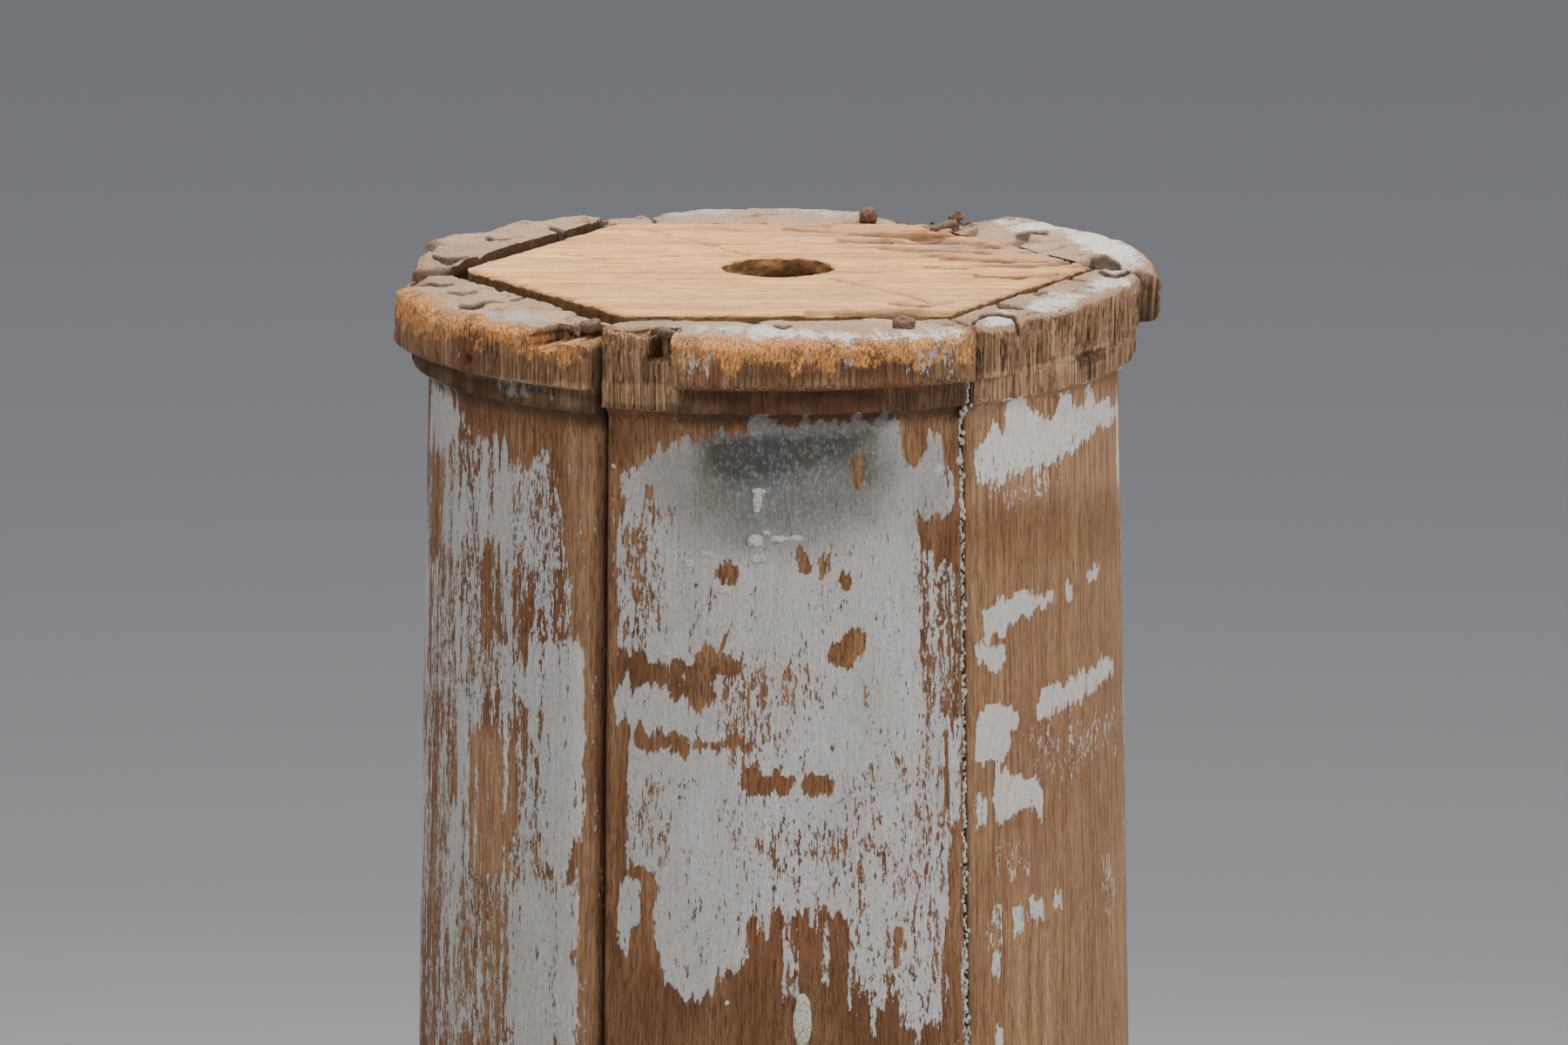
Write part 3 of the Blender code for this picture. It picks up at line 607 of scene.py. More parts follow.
def staveRows(top, level):  # radius, height, zone and share of the zone, from the foot round to the inside
    fillet = columnShape["neckRadius"] + columnShape["filletStep"]
    outer = fillet + columnShape["astragalStep"]
    under = level - columnShape["astragalHeight"]
    neck = under - columnShape["filletHeight"] - columnShape["filletStep"]
    hollow, low, bend = columnShape["filletStep"], columnShape["underRound"], columnShape["topRound"]
    inner, floor = columnShape["rebateApothem"], columnShape["rebateFloor"]
    rise = neck - shaftSplit

    def shaftPlace(height):
        return shaftRadius(height, level), height

    def cos(share):
        return math.cos(math.pi / 2 * share)

    def sin(share):
        return math.sin(math.pi / 2 * share)

    places = {  # shapeStave sets the radius of the last three
        "lowShaft": (shaftZone, lambda s: shaftPlace(s * shaftSplit)),
        "highShaft": (shaftZone, lambda s: shaftPlace(shaftSplit + rise * s)),
        "cavetto": (cavettoZone, lambda s: (fillet - hollow * cos(s), neck + hollow * sin(s))),
        "fillet": (filletZone, lambda s: (fillet, under - columnShape["filletHeight"] * (1 - s))),
        "underside": (underZone, lambda s: (fillet + (outer - low - fillet) * s, under)),
        "underRound": (faceZone, lambda s: (outer - low + low * sin(s), under + low - low * cos(s))),
        "face": (faceZone, lambda s: (outer, under + low + (top - bend - under - low) * s)),
        "topRound": (topZone, lambda s: (outer - bend + bend * cos(s), top - bend + bend * sin(s))),
        "topSheet": (topZone, lambda s: (outer - bend + (inner - outer + bend) * s, top)),
        "rebate": (rebateZone, lambda s: (inner, top + (floor - top) * s**3)),
        "ledge": (ledgeZone, lambda s: (inner, floor)),
        "inside": (insideZone, lambda s: (inner, floor * (1 - s))),
        "foot": (footZone, lambda s: (inner, 0.0)),
    }
    rows = []
    for name, (zone, place) in places.items():
        count = rowCounts[name]
        for step in range(count):
            share = step / (count - 1) if name == "lowShaft" else (step + 1) / count
            rows.append((*place(share), zone, share))
    return rows


def makeStave(name, finish):
    facts = staveFacts[name]
    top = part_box(name)[1][2]
    level = columnShape["headTop"] + facts["moulding"] / 1000
    rows = staveRows(top, level)
    start = math.radians(columnShape["firstSeam"] + columnShape["span"] * facts["number"])
    span = math.radians(columnShape["span"])
    bm = bmesh.new()
    rowLayer = bm.verts.layers.int.new("row")
    ring = []
    for number, (radius, height, zone, share) in enumerate(rows):
        ring.append(bm.verts.new((radius, 0, height)))
        ring[-1][rowLayer] = number
    face = bm.faces.new(ring)
    bmesh.ops.rotate(bm, verts=ring, cent=(0, 0, 0), matrix=Matrix.Rotation(start, 3, "Z"))
    whole = [face, *face.edges, *face.verts]
    bmesh.ops.spin(bm, geom=whole, cent=(0, 0, 0), axis=(0, 0, 1), angle=span, steps=facts["columns"])
    mesh = meshFrom(bm, name + "_wood")
    points = getPoints(mesh)
    row = np.empty(len(points), np.int32)
    mesh.attributes["row"].data.foreach_get("value", row)
    mesh.attributes.remove(mesh.attributes["row"])
    turned = (np.arctan2(points[:, 1], points[:, 0]) - start) % math.tau
    turned = np.where(turned > span * 1.5, 0, turned)
    place = np.round(turned / span * facts["columns"]) / facts["columns"]
    points, marks = shapeStave(name, top, level, np.array(rows)[row], place, start, span)
    setPoints(mesh, points)
    setMarks(mesh, marks)
    closeMesh(mesh)
    addPiece(name + "_wood", mesh, finish, "stave_wood", name)
    print("stave", name, len(mesh.polygons), "faces")


# The staves' uneven places. On the chart a spacing is along the arc, from stave to stave and up.
staveNoise = {
    "ragged": ((0.5, 1, 0.0035), 31, 3, 0.5, 0.8),  # degrees
    "edgeWave": ((0.011, 1, 0.4), 33, 1, 0.5, 0.0014),
    "edgeChips": ((0.0042, 1, 0.004), 34, 3, 0.6, 0.0009),
    "rounding": ((0.006, 1, 1.0), 35, 1, 0, 0.0012),
    "notchSides": ((0.0015, 1, 0.004), 37, 3, 0.5, 0.9),  # degrees
    "notchFloor": ((0.002, 1, 1), 38, 1, 0, 0.3),
    "notchBack": ((0.0016, 1, 0.01), 39, 1, 0.5, 0.0014),
    "arris": ((1, 1, 0.02), 41, 3, 0, 0.7),
    "drift": ((0.0016, 1, 0.012), 51, 3, 0.5, 26),  # the photograph's pixels
    "wave": ((0.0024, 1, 0.028), 52, 3, 0.5, 5.0),
    "shift": ((0.003, 1, 0.006), 53, 3, 0.5, 7),  # the photograph's pixels
    "streaks": ((0.0017, 1, 0.045), 54, 3, 0.5, 1),
    "paintBroad": ((0.016, 1, 0.07), 55, 3, 0.5, 3.2),
    "paintFine": ((0.004, 1, 0.05), 57, 3, 0.5, 1.0),
    "fray": ((0.005, 1, 0.08), 58, 3, 0.5, 1),
    "fuzzReach": ((0.004, 1, 0.006), 60, 3, 0, 1),
    "fuzzGaps": ((0.004, 1, 0.004), 61, 3, 0, 1),
    "dirtAndShade": ((0.006, 1, 0.003), 63, 3, 0, 0.7),
    "worn": ((0.006, 1, 0.02), 64, 3, 0, 1),
    "seamDirt": ((1, 1, 0.012), 65, 1, 0, 0.8),
    # the relief of the sides, along x, y and z
    "grain": ((0.0011, 0.0011, 0.03), 71, 3, 0.5, 0.00016),
    "swell": ((0.010, 0.010, 0.08), 73, 3, 0.5, 0.00045),
    "fibres": ((0.0012, 0.0012, 0.018), 75, 3, 0.5, 0.0013),
    "ledges": ((0.0042, 0.0042, 0.02), 77, 3, 0, 7),  # into seven steps
    "tuft": ((0.0011, 0.0011, 0.0012), 79, 3, 0.5, 0.0012),
    "tuftBroad": ((0.004, 0.004, 0.003), 81, 1, 0.5, 0.0007),
    # the tops
    "topBroad": ((0.014, 0.014, 1), 83, 3, 0.35, 0.0016),
    "topFine": ((0.0022, 0.0022, 1), 85, 3, 0, 0.00045),
    "vein": ((0.016, 0.008, 1), 86, 3, 0.5, 1),
    "dips": ((0.003, 0.003, 1), 87, 1, 0, 0.5),
    "veinGaps": ((0.009, 0.009, 1), 88, 3, 0, 1),
    "crackWander": ((0.006, 0.006, 1), 89, 3, 0.5, 5),  # the photograph's pixels
}
# How the staves are worn and painted, in metres where nothing else is said
staveWear = {
    "crowding": 0.42,  # how far the columns of points draw towards the seams, 0 to 1
    "rounding": 0.0016,  # of the worn edge, at least
    "brokenEdge": 0.1095,  # an edge nearer the axis than this has split away
    "seamReach": 0.0012,  # how far dirt and lost paint reach from a seam
    "facing": (0.02, 0.20),  # how far a face turns to the camera before its paint follows the photograph
    "facingTop": (-0.05, 0.05),  # the same on the moulding
    "seenFrom": (0.735, 0.790),  # the height that the photograph's lower edge shows
    "lowestRow": 1192,  # the last row of pixels whose paint is used, and runs on down
    "bareLevel": -0.15,  # what stands for no paint
    "hiddenPaint": 0.45,  # how much paint is left where the photograph shows none of the column
    "bareUnderHead": (0.04, 0.024),  # under the head the hidden paint goes, between these
    "bareHeights": (0.55, 0.78),  # where a stave's own bare share sets in
    "fuzzHeights": (0.0088, 0.0034),  # under the top the fuzz sets in, between these
    "fuzzReach": 0.0042,
    "dirtAndShadeUnder": (0.012, 0.001, 0.0022),  # the band under the astragal, darkened by dirt and by painted shade: its ends and softness
    "paintFilm": 0.00014,
    "ledgeDepth": 0.0026,  # of the steps in torn faces
    "deepPit": 1.3,  # mm, pits deeper than this are darkened inside
    "veinDepth": 0.0008,
    "wideCrack": 2.3,  # the photograph's pixels, and wider ones are paler
}


def ringPoints(radius, angle, height):
    return np.column_stack([radius * np.cos(angle), radius * np.sin(angle), height])


def shapeStave(name, top, level, rows, place, start, span):
    facts, wear, noise = staveFacts[name], staveWear, staveNoise
    number = facts["number"]
    under = level - columnShape["astragalHeight"]
    radius, height, zone, share = rows.T
    zone = zone.astype(int)
    eased = place - wear["crowding"] * np.sin(math.tau * place) / math.tau
    gap = columnShape["seamGap"] / 2 / columnShape["neckRadius"]
    fromMiddle = (eased - 0.5) * (span - 2 * gap)
    angle = start + span / 2 + fromMiddle
    degrees = np.degrees(angle) - (360 if number > 3 else 0)
    flat = np.cos(fromMiddle)

    # the flat inner faces
    wall = columnShape["rebateApothem"] / flat
    footWall = columnShape["footRadius"] - columnShape["wall"]
    hollow = (footWall - columnShape["wallTaper"] * height / columnShape["shaftTop"]) / flat
    topStart = columnShape["neckRadius"] + sheetStart
    onSheet = (zone == topZone) & (height > top - 1e-6) & (radius < topStart)
    radius = np.where(onSheet, topStart + (wall - topStart) * share, radius)
    radius = np.where(zone == rebateZone, wall, radius)
    radius = np.where(zone == ledgeZone, wall + (hollow - wall) * share, radius)
    radius = np.where(zone == insideZone, hollow, radius)
    footInner = footWall / flat
    footReach = (columnShape["footRadius"] - footInner) * share * 0.85
    radius = np.where(zone == footZone, footInner + footReach, radius)
    outer = zone <= topZone
    moulding = (zone >= filletZone) & outer
    onShaft = zone <= cavettoZone
    faceOrTop = (zone == faceZone) | (zone == topZone)
    chart = np.column_stack([angle * columnShape["neckRadius"], radius * 0 + number, height])
    ends = ringPoints(radius, angle, height * 0)

    # the worn outer edge, with a ragged line where it has split away
    rim = np.array(facts["rim"], float)
    edge = np.interp(degrees + uneven(chart, noise["ragged"]), rim[:, 0], rim[:, 1]) / 1000
    edge = edge + uneven(chart, noise["edgeWave"]) + uneven(chart, noise["edgeChips"])
    rounding = wear["rounding"] + uneven(chart, noise["rounding"])
    below = np.clip(height - (top - rounding), 0, rounding)
    edge = edge - (rounding - np.sqrt(np.maximum(rounding**2 - below**2, 0)))
    limited = np.where(outer & (height > under - 0.0001), np.minimum(radius, edge), radius)
    cut = np.zeros(len(radius))
    for low, high, limit, depth in facts["notches"]:
        across = degrees + uneven(chart, noise["notchSides"])
        inside = (across > low) & (across < high) & outer
        inside &= height > top - depth / 1000 * (0.9 + uneven(chart, noise["notchFloor"]))
        back = limit / 1000 + uneven(chart, noise["notchBack"])
        limited = np.where(inside, np.minimum(limited, back), limited)
        cut = np.maximum(cut, inside)
    split = np.zeros(len(radius))
    for low, high in facts["torn"]:
        split = np.maximum(split, band(degrees, low, high, 0.4))
    radius = limited

    # rounded long edges at the seams
    fromStart = eased * (span - 2 * gap) * radius
    fromEnd = (1 - eased) * (span - 2 * gap) * radius
    drop = np.zeros(len(radius))
    for away, arris in zip((fromStart, fromEnd), facts["arris"]):
        arris = arris / 1000 * (0.65 + uneven(chart, noise["arris"]))
        short = np.clip(arris - away, 0, arris)
        drop = np.maximum(drop, arris - np.sqrt(np.maximum(arris**2 - short**2, 0)))
    seamNear = np.exp(-np.minimum(fromStart, fromEnd) / wear["seamReach"])
    radius = radius - np.where(outer & (zone != topZone), drop, 0)

    # where the camera sees the paint that the photograph shows, and what is made up elsewhere
    space = ringPoints(radius, angle, height)
    x, y = toPixel(space)
    toEye = eye - space
    toEye = toEye / np.linalg.norm(toEye, axis=1)[:, None]
    facing = toEye[:, 0] * np.cos(angle) + toEye[:, 1] * np.sin(angle)
    fray = uneven(chart, noise["fray"])
    seen = softStep(facing + 0.16 * fray, *wear["facing"])
    seen = seen * softStep(height + 0.08 * fray, *wear["seenFrom"])
    drift = uneven(chart, noise["drift"])
    shift = uneven(chart, noise["shift"])
    wave = uneven(chart, noise["wave"])
    paintY = np.minimum(y, wear["lowestRow"]) + drift * 0.6
    shown = patchValue(x + shift, paintY, paintPatches, wear["bareLevel"], wave)
    shown = shown + facts["streaks"] * uneven(chart, noise["streaks"])
    hidden = wear["hiddenPaint"] + uneven(chart, noise["paintBroad"], number)
    hidden = hidden + uneven(chart, noise["paintFine"])
    underHead, headEdge = (level - down for down in wear["bareUnderHead"])
    hidden = hidden - 1.0 * seamNear - 0.6 * softStep(height, underHead, headEdge)
    hidden = hidden - facts.get("bare", 0) * softStep(height, *wear["bareHeights"])
    paint = np.where(onShaft, hidden * (1 - seen) + shown * seen, -0.2)
    traceY = y + drift * 0.12
    trace = patchValue(x + shift * 0.6, traceY, tracePatches, wear["bareLevel"], wave * 0.5)
    traceSeen = softStep(facing, *wear["facingTop"]) + (zone == topZone) * (height > top - 0.004)
    paint = np.where(moulding & (traceSeen > 0.5), trace, paint)

    # the other marks that the materials read
    stain = patchValue(x, y, stainPatches, 0) * seen * onShaft
    # paler and darker places, painted light and painted shade among them
    toneAndLight = patchValue(x + shift * 0.5, traceY, toneAndLightPatches, 0) * np.minimum(traceSeen, 1) * outer
    brokenBack = softStep(wear["brokenEdge"] - edge, 0, 0.002)
    torn = np.where(moulding, np.maximum(np.maximum(split, brokenBack), cut), 0)
    onTop = softStep(height, top - 0.0022, top - 0.0008) * (zone == topZone)
    outward = softStep(radius, edge - 0.006, edge - 0.001)
    fuzzFoot, fuzzHead = (top - down for down in wear["fuzzHeights"])
    reach = wear["fuzzReach"] * softStep(uneven(chart, noise["fuzzReach"]), 0.35, 0.75)
    fuzz = facts["fuzz"] * faceOrTop * (1 - 0.75 * torn)
    fuzz = fuzz * softStep(height + reach, fuzzFoot, fuzzHead) * (1 - onTop * (1 - outward * 0.9))
    fuzz = fuzz * (0.35 + 0.65 * softStep(uneven(chart, noise["fuzzGaps"]), 0.30, 0.60))
    grey = onTop * (1 - 0.8 * outward * facts["fuzz"])
    # dirt and painted shade: a dark band just under the astragal
    dirtAndShadeLow, dirtAndShadeHigh, dirtAndShadeSoft = wear["dirtAndShadeUnder"]
    dirtAndShade = band(height, under - dirtAndShadeLow, under - dirtAndShadeHigh, dirtAndShadeSoft) * outer * (zone != topZone)
    dirtAndShade = dirtAndShade * (0.42 + uneven(chart, noise["dirtAndShade"])) * (1 - 0.75 * split)
    dirtAndShade = dirtAndShade + 0.75 * seamNear * outer * (0.4 + uneven(chart, noise["seamDirt"]))
    # painted shade: the inner faces and the rebate walls are darkened all over
    dirtAndShade = np.where(outer, dirtAndShade, 0.85)

    # relief of the sides: long fibres, the film of paint, torn faces, fuzz and pits
    out = uneven(space, noise["grain"]) + uneven(space, noise["swell"])
    out = out + wear["paintFilm"] * softStep(paint, 0.3, 0.7) * onShaft
    fibres = uneven(space, noise["fibres"])
    ledges = (np.floor(uneven(space, noise["ledges"])) / 7 - 0.5) * wear["ledgeDepth"]
    out = out + torn * (fibres + ledges) * (height < top - 0.0006)
    out = out + (1 - torn) * (zone == faceZone) * (fibres * 0.5 + ledges * 0.5)
    out = out + fuzz * (uneven(space, noise["tuft"]) + uneven(space, noise["tuftBroad"]))
    for title, middleX, middleY, halfX, halfY, depth in sidePits:
        dent = np.exp(-(((x - middleX) / halfX) ** 2 + ((y - middleY) / halfY) ** 2)) * (facing > 0)
        out = out - depth / 1000 * dent * (zone >= filletZone)
        # deep pits are darkened inside
        if depth > wear["deepPit"]:
            dirtAndShade = dirtAndShade + 1.2 * dent * outer
    out = np.where(outer, out * (1 - onTop), 0) * (1 - softStep(-height, -0.004, -0.001))
    radius = radius + out

    # the weathered tops, with their low places and cracks
    down = uneven(ends, noise["topBroad"], number) + uneven(ends, noise["topFine"]) + drop * 0.9
    vein = np.exp(-((uneven(ends, noise["vein"], number) / 0.05) ** 2))
    vein = vein * softStep(uneven(ends, noise["veinGaps"]), 0.47, 0.66)
    down = down + vein * wear["veinDepth"]
    dirtAndShade = dirtAndShade + 0.7 * vein * onTop
    slope = facts.get("innerSlope", 0) / 1000
    down = down + slope * (1 - softStep(radius - wall, 0.0005, 0.012))
    for middle, half, inner, depth in facts["dips"]:
        reach = np.exp(-(((degrees - middle) / half) ** 4))
        reach = reach * softStep(radius, inner / 1000 - 0.003, inner / 1000 + 0.003)
        down = down + depth / 1000 * reach * (0.75 + uneven(ends, noise["dips"]))
    topX, topY = toPixel(ringPoints(radius, angle, radius * 0 + top))
    wander = uneven(ends, noise["crackWander"])
    cracked = ((zone == topZone) & (height > top - 0.003)) | (zone == rebateZone)
    rust = np.zeros(len(radius))
    for title, line, wide, depth in topCracks:
        away = lineDistance(topX + wander, topY + wander * 0.6, line)
        dent = np.exp(-((away / wide) ** 4)) * cracked
        down = down + depth / 1000 * dent
        dirtAndShade = dirtAndShade + (0.7 if wide > wear["wideCrack"] else 1.4 if depth > 1 else 0.9) * dent**0.35
        rust = np.maximum(rust, dent**0.5)
    down = np.maximum(down, 0)
    bodyShare = softStep(height, under, top)
    height = height - np.where(faceOrTop, down * np.maximum(bodyShare, onTop), 0)
    height = np.where(zone == rebateZone, height - down * (1 - share**3), height)

    worn = 0.75 * facts["fuzz"] * softStep(uneven(chart, noise["worn"]), 0.36, 0.62)
    marks = {
        "paint": paint - 1.2 * rust * (zone == topZone),
        "torn": np.maximum(torn, np.where(faceOrTop, worn, 0) * (1 - onTop)),
        "fuzz": fuzz,
        "grey": grey * (1 - 0.6 * rust),
        "dirtAndShade": dirtAndShade,
        "stain": stain,
        "toneAndLight": toneAndLight,
    }
    return ringPoints(radius, angle, height), marks


# The head board: a dry plank with its grain left to right, a round bore and a broken left corner
boardFacts = {
    "blank": (0.098, 0.090),  # half of the plank that the hexagon is cut from
    "apothem": 0.07884,
    "shift": 0.0013,
    "thickness": 0.028,
    "bore": 0.016,
    "stepAlong": 0.0013,  # between points along the grain
    "stepAcross": 0.00062,
    "edgeRows": (0.0012, 0.0018, 0.003, 0.006, 0.008, 0.008),  # down its sides
    "cornerLost": 0.0872,  # the left corner ends this far from the axis
}
boardNoise = {
    "bore": ((0.0034, 0.0034, 0.0013), 91, 3, 0.5, 0.0032),
    "boreBroad": ((0.006, 0.004, 0.006), 92, 3, 0.5, 0.0016),
    "sawEdge": ((0.0022, 0.0022, 0.006), 101, 3, 0, 1),
    "edgeWave": ((0.012, 0.012, 0.02), 102, 3, 0.45, 0.0006),
    "corner": ((0.004, 0.0016, 0.003), 103, 3, 0.5, 0.0022),
    "grain": ((0.02, 0.0016, 1), 104, 3, 0.4, 0.00040),
    "fineGrain": ((0.006, 0.0008, 1), 105, 3, 0, 0.00018),
    "edgeWear": ((0.004, 0.002, 1), 106, 1, 0, 0.0006),
    "aged": ((0.022, 0.0018, 1), 107, 3, 0.3, 0.0016),
    "wander": ((0.010, 0.008, 1), 108, 3, 0.5, 4),  # the photograph's pixels
    "crackFade": ((0.007, 0.004, 1), 109, 1, 0, 0.8),
    "splinters": ((0.015, 0.0042, 1), 111, 3, 0, 1),
    "sideDirtAndShade": ((0.002, 0.002, 0.002), 112, 3, 0.3, 0.25),
    "boreDirtAndShade": ((0.004, 0.004, 0.0014), 113, 3, 0.5, 1.6),
}
# Its cracks, drawn like those in the tops
boardCracks = (
    ("scribedLine", ((740, 262), (800, 277), (862, 293)), 0.9, 0.5),
    ("scribedLineRight", ((950, 318), (1010, 331), (1070, 347)), 0.9, 0.7),
    ("backSplitA", ((900, 262), (980, 266), (1060, 268), (1120, 268)), 1.5, 1.8),
    ("backSplitB", ((960, 274), (1040, 277), (1110, 279), (1150, 281)), 1.3, 1.4),
    ("backSplitC", ((1010, 285), (1080, 287), (1140, 290)), 1.2, 1.2),
    ("backSplitD", ((1060, 258), (1100, 262), (1140, 266)), 1.8, 2.0),
    ("backSplitE", ((1080, 296), (1150, 298), (1200, 300)), 1.3, 1.2),
    ("greyCrack", ((1130, 304), (1180, 306), (1230, 300)), 1.5, 1.5),
    ("greyCrackB", ((1060, 306), (1110, 308)), 1.1, 0.9),
    ("greyCrackC", ((1120, 316), (1170, 318), (1215, 313)), 1.2, 1.2),
    ("frontSplit", ((928, 360), (960, 358), (1000, 357), (1040, 356), (1094, 359)), 2.2, 2.6),
    ("frontSplitB", ((1020, 347), (1060, 350), (1092, 347)), 1.3, 1.6),
    ("fineA", ((930, 310), (990, 313), (1040, 311)), 0.9, 0.4),
    ("fineB", ((960, 336), (1000, 334)), 0.9, 0.6),
    ("fineC", ((640, 292), (700, 296), (780, 293)), 0.8, 0.35),
    ("fineD", ((700, 318), (760, 321), (800, 319)), 0.8, 0.35),
)


def hexagonSides():
    for side in range(6):
        direction = math.radians(columnShape["firstSeam"] + columnShape["span"] * (side + 0.5))
        yield math.cos(direction), math.sin(direction)


def boreCutter(top):  # an auger's rough bore
    bm = bmesh.new()
    radius, shift = boardFacts["bore"], boardFacts["shift"]
    bmesh.ops.create_cone(bm, cap_ends=True, segments=120, radius1=radius, radius2=radius, depth=0.04)
    uprights = [edge for edge in bm.edges if abs(edge.verts[0].co.z - edge.verts[1].co.z) > 0.01]
    bmesh.ops.subdivide_edges(bm, edges=uprights, cuts=34, use_grid_fill=True)
    bmesh.ops.translate(bm, verts=bm.verts, vec=(shift, 0, top - boardFacts["thickness"] / 2))
    mesh = meshFrom(bm, "bore_blank")
    points = getPoints(mesh)
    flat = points[:, :2] - (shift, 0)
    away = np.hypot(*flat.T)
    rough = uneven(points, boardNoise["bore"]) + uneven(points, boardNoise["boreBroad"])
    flat = flat * np.where(away > radius / 2, 1 + rough / np.maximum(away, radius / 2), 1)[:, None]
    points[:, :2] = flat + (shift, 0)
    setPoints(mesh, points)
    return mesh


def makeBoard(finish):
    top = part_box("head_board")[1][2]
    centre = Vector((boardFacts["shift"], 0, top))
    halfX, halfY = boardFacts["blank"]
    along, across = round(2 * halfX / boardFacts["stepAlong"]), round(2 * halfY / boardFacts["stepAcross"])
    bm = bmesh.new()
    bmesh.ops.create_grid(bm, x_segments=along, y_segments=across, size=1)
    bmesh.ops.scale(bm, verts=bm.verts, vec=(halfX, halfY, 1))
    bmesh.ops.translate(bm, verts=bm.verts, vec=centre)
    for sideX, sideY in hexagonSides():
        normal = Vector((sideX, sideY, 0))
        plane = centre + normal * boardFacts["apothem"]
        whole = [*bm.verts, *bm.edges, *bm.faces]
        bmesh.ops.bisect_plane(bm, geom=whole, plane_co=plane, plane_no=normal, clear_outer=True)
    bmesh.ops.remove_doubles(bm, verts=bm.verts, dist=0.00012)
    edges = [edge for edge in bm.edges if edge.is_boundary]
    for depth in boardFacts["edgeRows"]:
        walls = bmesh.ops.extrude_edge_only(bm, edges=edges)["geom"]
        lower = [part for part in walls if isinstance(part, bmesh.types.BMVert)]
        edges = [part for part in walls if isinstance(part, bmesh.types.BMEdge) and part.is_boundary]
        bmesh.ops.translate(bm, verts=lower, vec=(0, 0, -depth))
    bmesh.ops.holes_fill(bm, edges=edges, sides=0)
    bmesh.ops.recalc_face_normals(bm, faces=bm.faces)
    blank = bpy.data.objects.new("board_blank", meshFrom(bm, "board_blank"))
    bpy.context.scene.collection.objects.link(blank)
    cutter = bpy.data.objects.new("bore_blank", boreCutter(top))
    bpy.context.scene.collection.objects.link(cutter)
    change = blank.modifiers.new("bore", "BOOLEAN")
    change.operation = "DIFFERENCE"
    change.solver = "EXACT"
    change.object = cutter
    bpy.context.view_layer.update()
    mesh = bpy.data.meshes.new_from_object(blank.evaluated_get(bpy.context.evaluated_depsgraph_get()))
    bpy.data.objects.remove(blank)
    bpy.data.objects.remove(cutter)
    mesh.name = "head_board_wood"
    points, marks = shapeBoard(getPoints(mesh), top)
    setPoints(mesh, points)
    setMarks(mesh, marks)
    closeMesh(mesh)
    addPiece("head_board_wood", mesh, finish, "board_wood", "head_board")
    print("head board", len(mesh.polygons), "faces")


def shapeBoard(points, top):
    x, y, z = points.T
    centreX, noise = boardFacts["shift"], boardNoise
    inset = np.full(len(x), 1.0)  # how far inside the hexagon's edge
    inward = np.zeros((len(x), 2))
    for sideX, sideY in hexagonSides():
        depth = boardFacts["apothem"] - ((x - centreX) * sideX + y * sideY)
        closer = depth < inset
        inset = np.where(closer, depth, inset)
        inward[closer] = (-sideX, -sideY)
    toBore = np.hypot(x - centreX, y) - boardFacts["bore"]
    onTop = z > top - 0.0004
    # ragged saw-cut edge, and the corner that has broken away
    ragged = uneven(points, noise["sawEdge"]) ** 2 * 0.0013 + uneven(points, noise["edgeWave"])
    pull = np.clip(ragged, 0, 0.0016) * (1 - softStep(inset, 0.0003, 0.0030)) * (toBore > 0.002)
    x = x + inward[:, 0] * pull
    y = y + inward[:, 1] * pull
    x = np.maximum(x, uneven(points, noise["corner"]) - boardFacts["cornerLost"])
    # its worn top, splintered at the back right, and its cracks
    down = uneven(points, noise["grain"]) + uneven(points, noise["fineGrain"])
    edgeWear = np.exp(-inset / 0.0009) + 0.8 * np.exp(-np.abs(toBore) / 0.0010)
    down = down + edgeWear * (0.0003 + uneven(points, noise["edgeWear"]))
    toBackRight = x + 1.1 * y
    backRight = softStep(toBackRight, 0.055, 0.10)
    down = down + backRight * uneven(points, noise["aged"])
    splinter = softStep(uneven(points, noise["splinters"]), 0.56, 0.66) * softStep(toBackRight, 0.045, 0.08)
    down = down + splinter * 0.0011
    cracks = splinter * 0.8
    pictureX, pictureY = toPixel(np.column_stack([x, y, x * 0 + top]))
    wander = uneven(points, noise["wander"])
    fade = 0.45 + uneven(points, noise["crackFade"])
    for title, line, wide, depth in boardCracks:
        away = lineDistance(pictureX, pictureY + wander, line)
        dent = np.exp(-((away / wide) ** 4))
        down = down + depth / 1000 * dent * fade
        cracks = np.maximum(cracks, dent**0.4 * min(1, depth) * fade)
    z = np.where(onTop, z - np.clip(down, -0.0001, 0.003), z)
    # darker in the cracks and along the top's edges; painted shade on the sides
    dirtAndShade = np.maximum(cracks, np.where(onTop, 0.6 * np.exp(-inset / 0.0012), 0.80))
    dirtAndShade = dirtAndShade + np.where(onTop, 0, uneven(points, noise["sideDirtAndShade"]))
    bore = (toBore < 0.0008) * 1.0
    # painted shade: the bore gets darker the deeper it goes
    hollow = 0.52 + softStep(top - z, 0.001, 0.010) * 0.45 + uneven(points, noise["boreDirtAndShade"])
    dirtAndShade = np.where((bore > 0) & ~onTop, hollow, dirtAndShade)
    marks = {"dirtAndShade": np.clip(dirtAndShade, 0, 1), "grey": backRight, "inside": bore}
    return np.column_stack([x, y, z]), marks


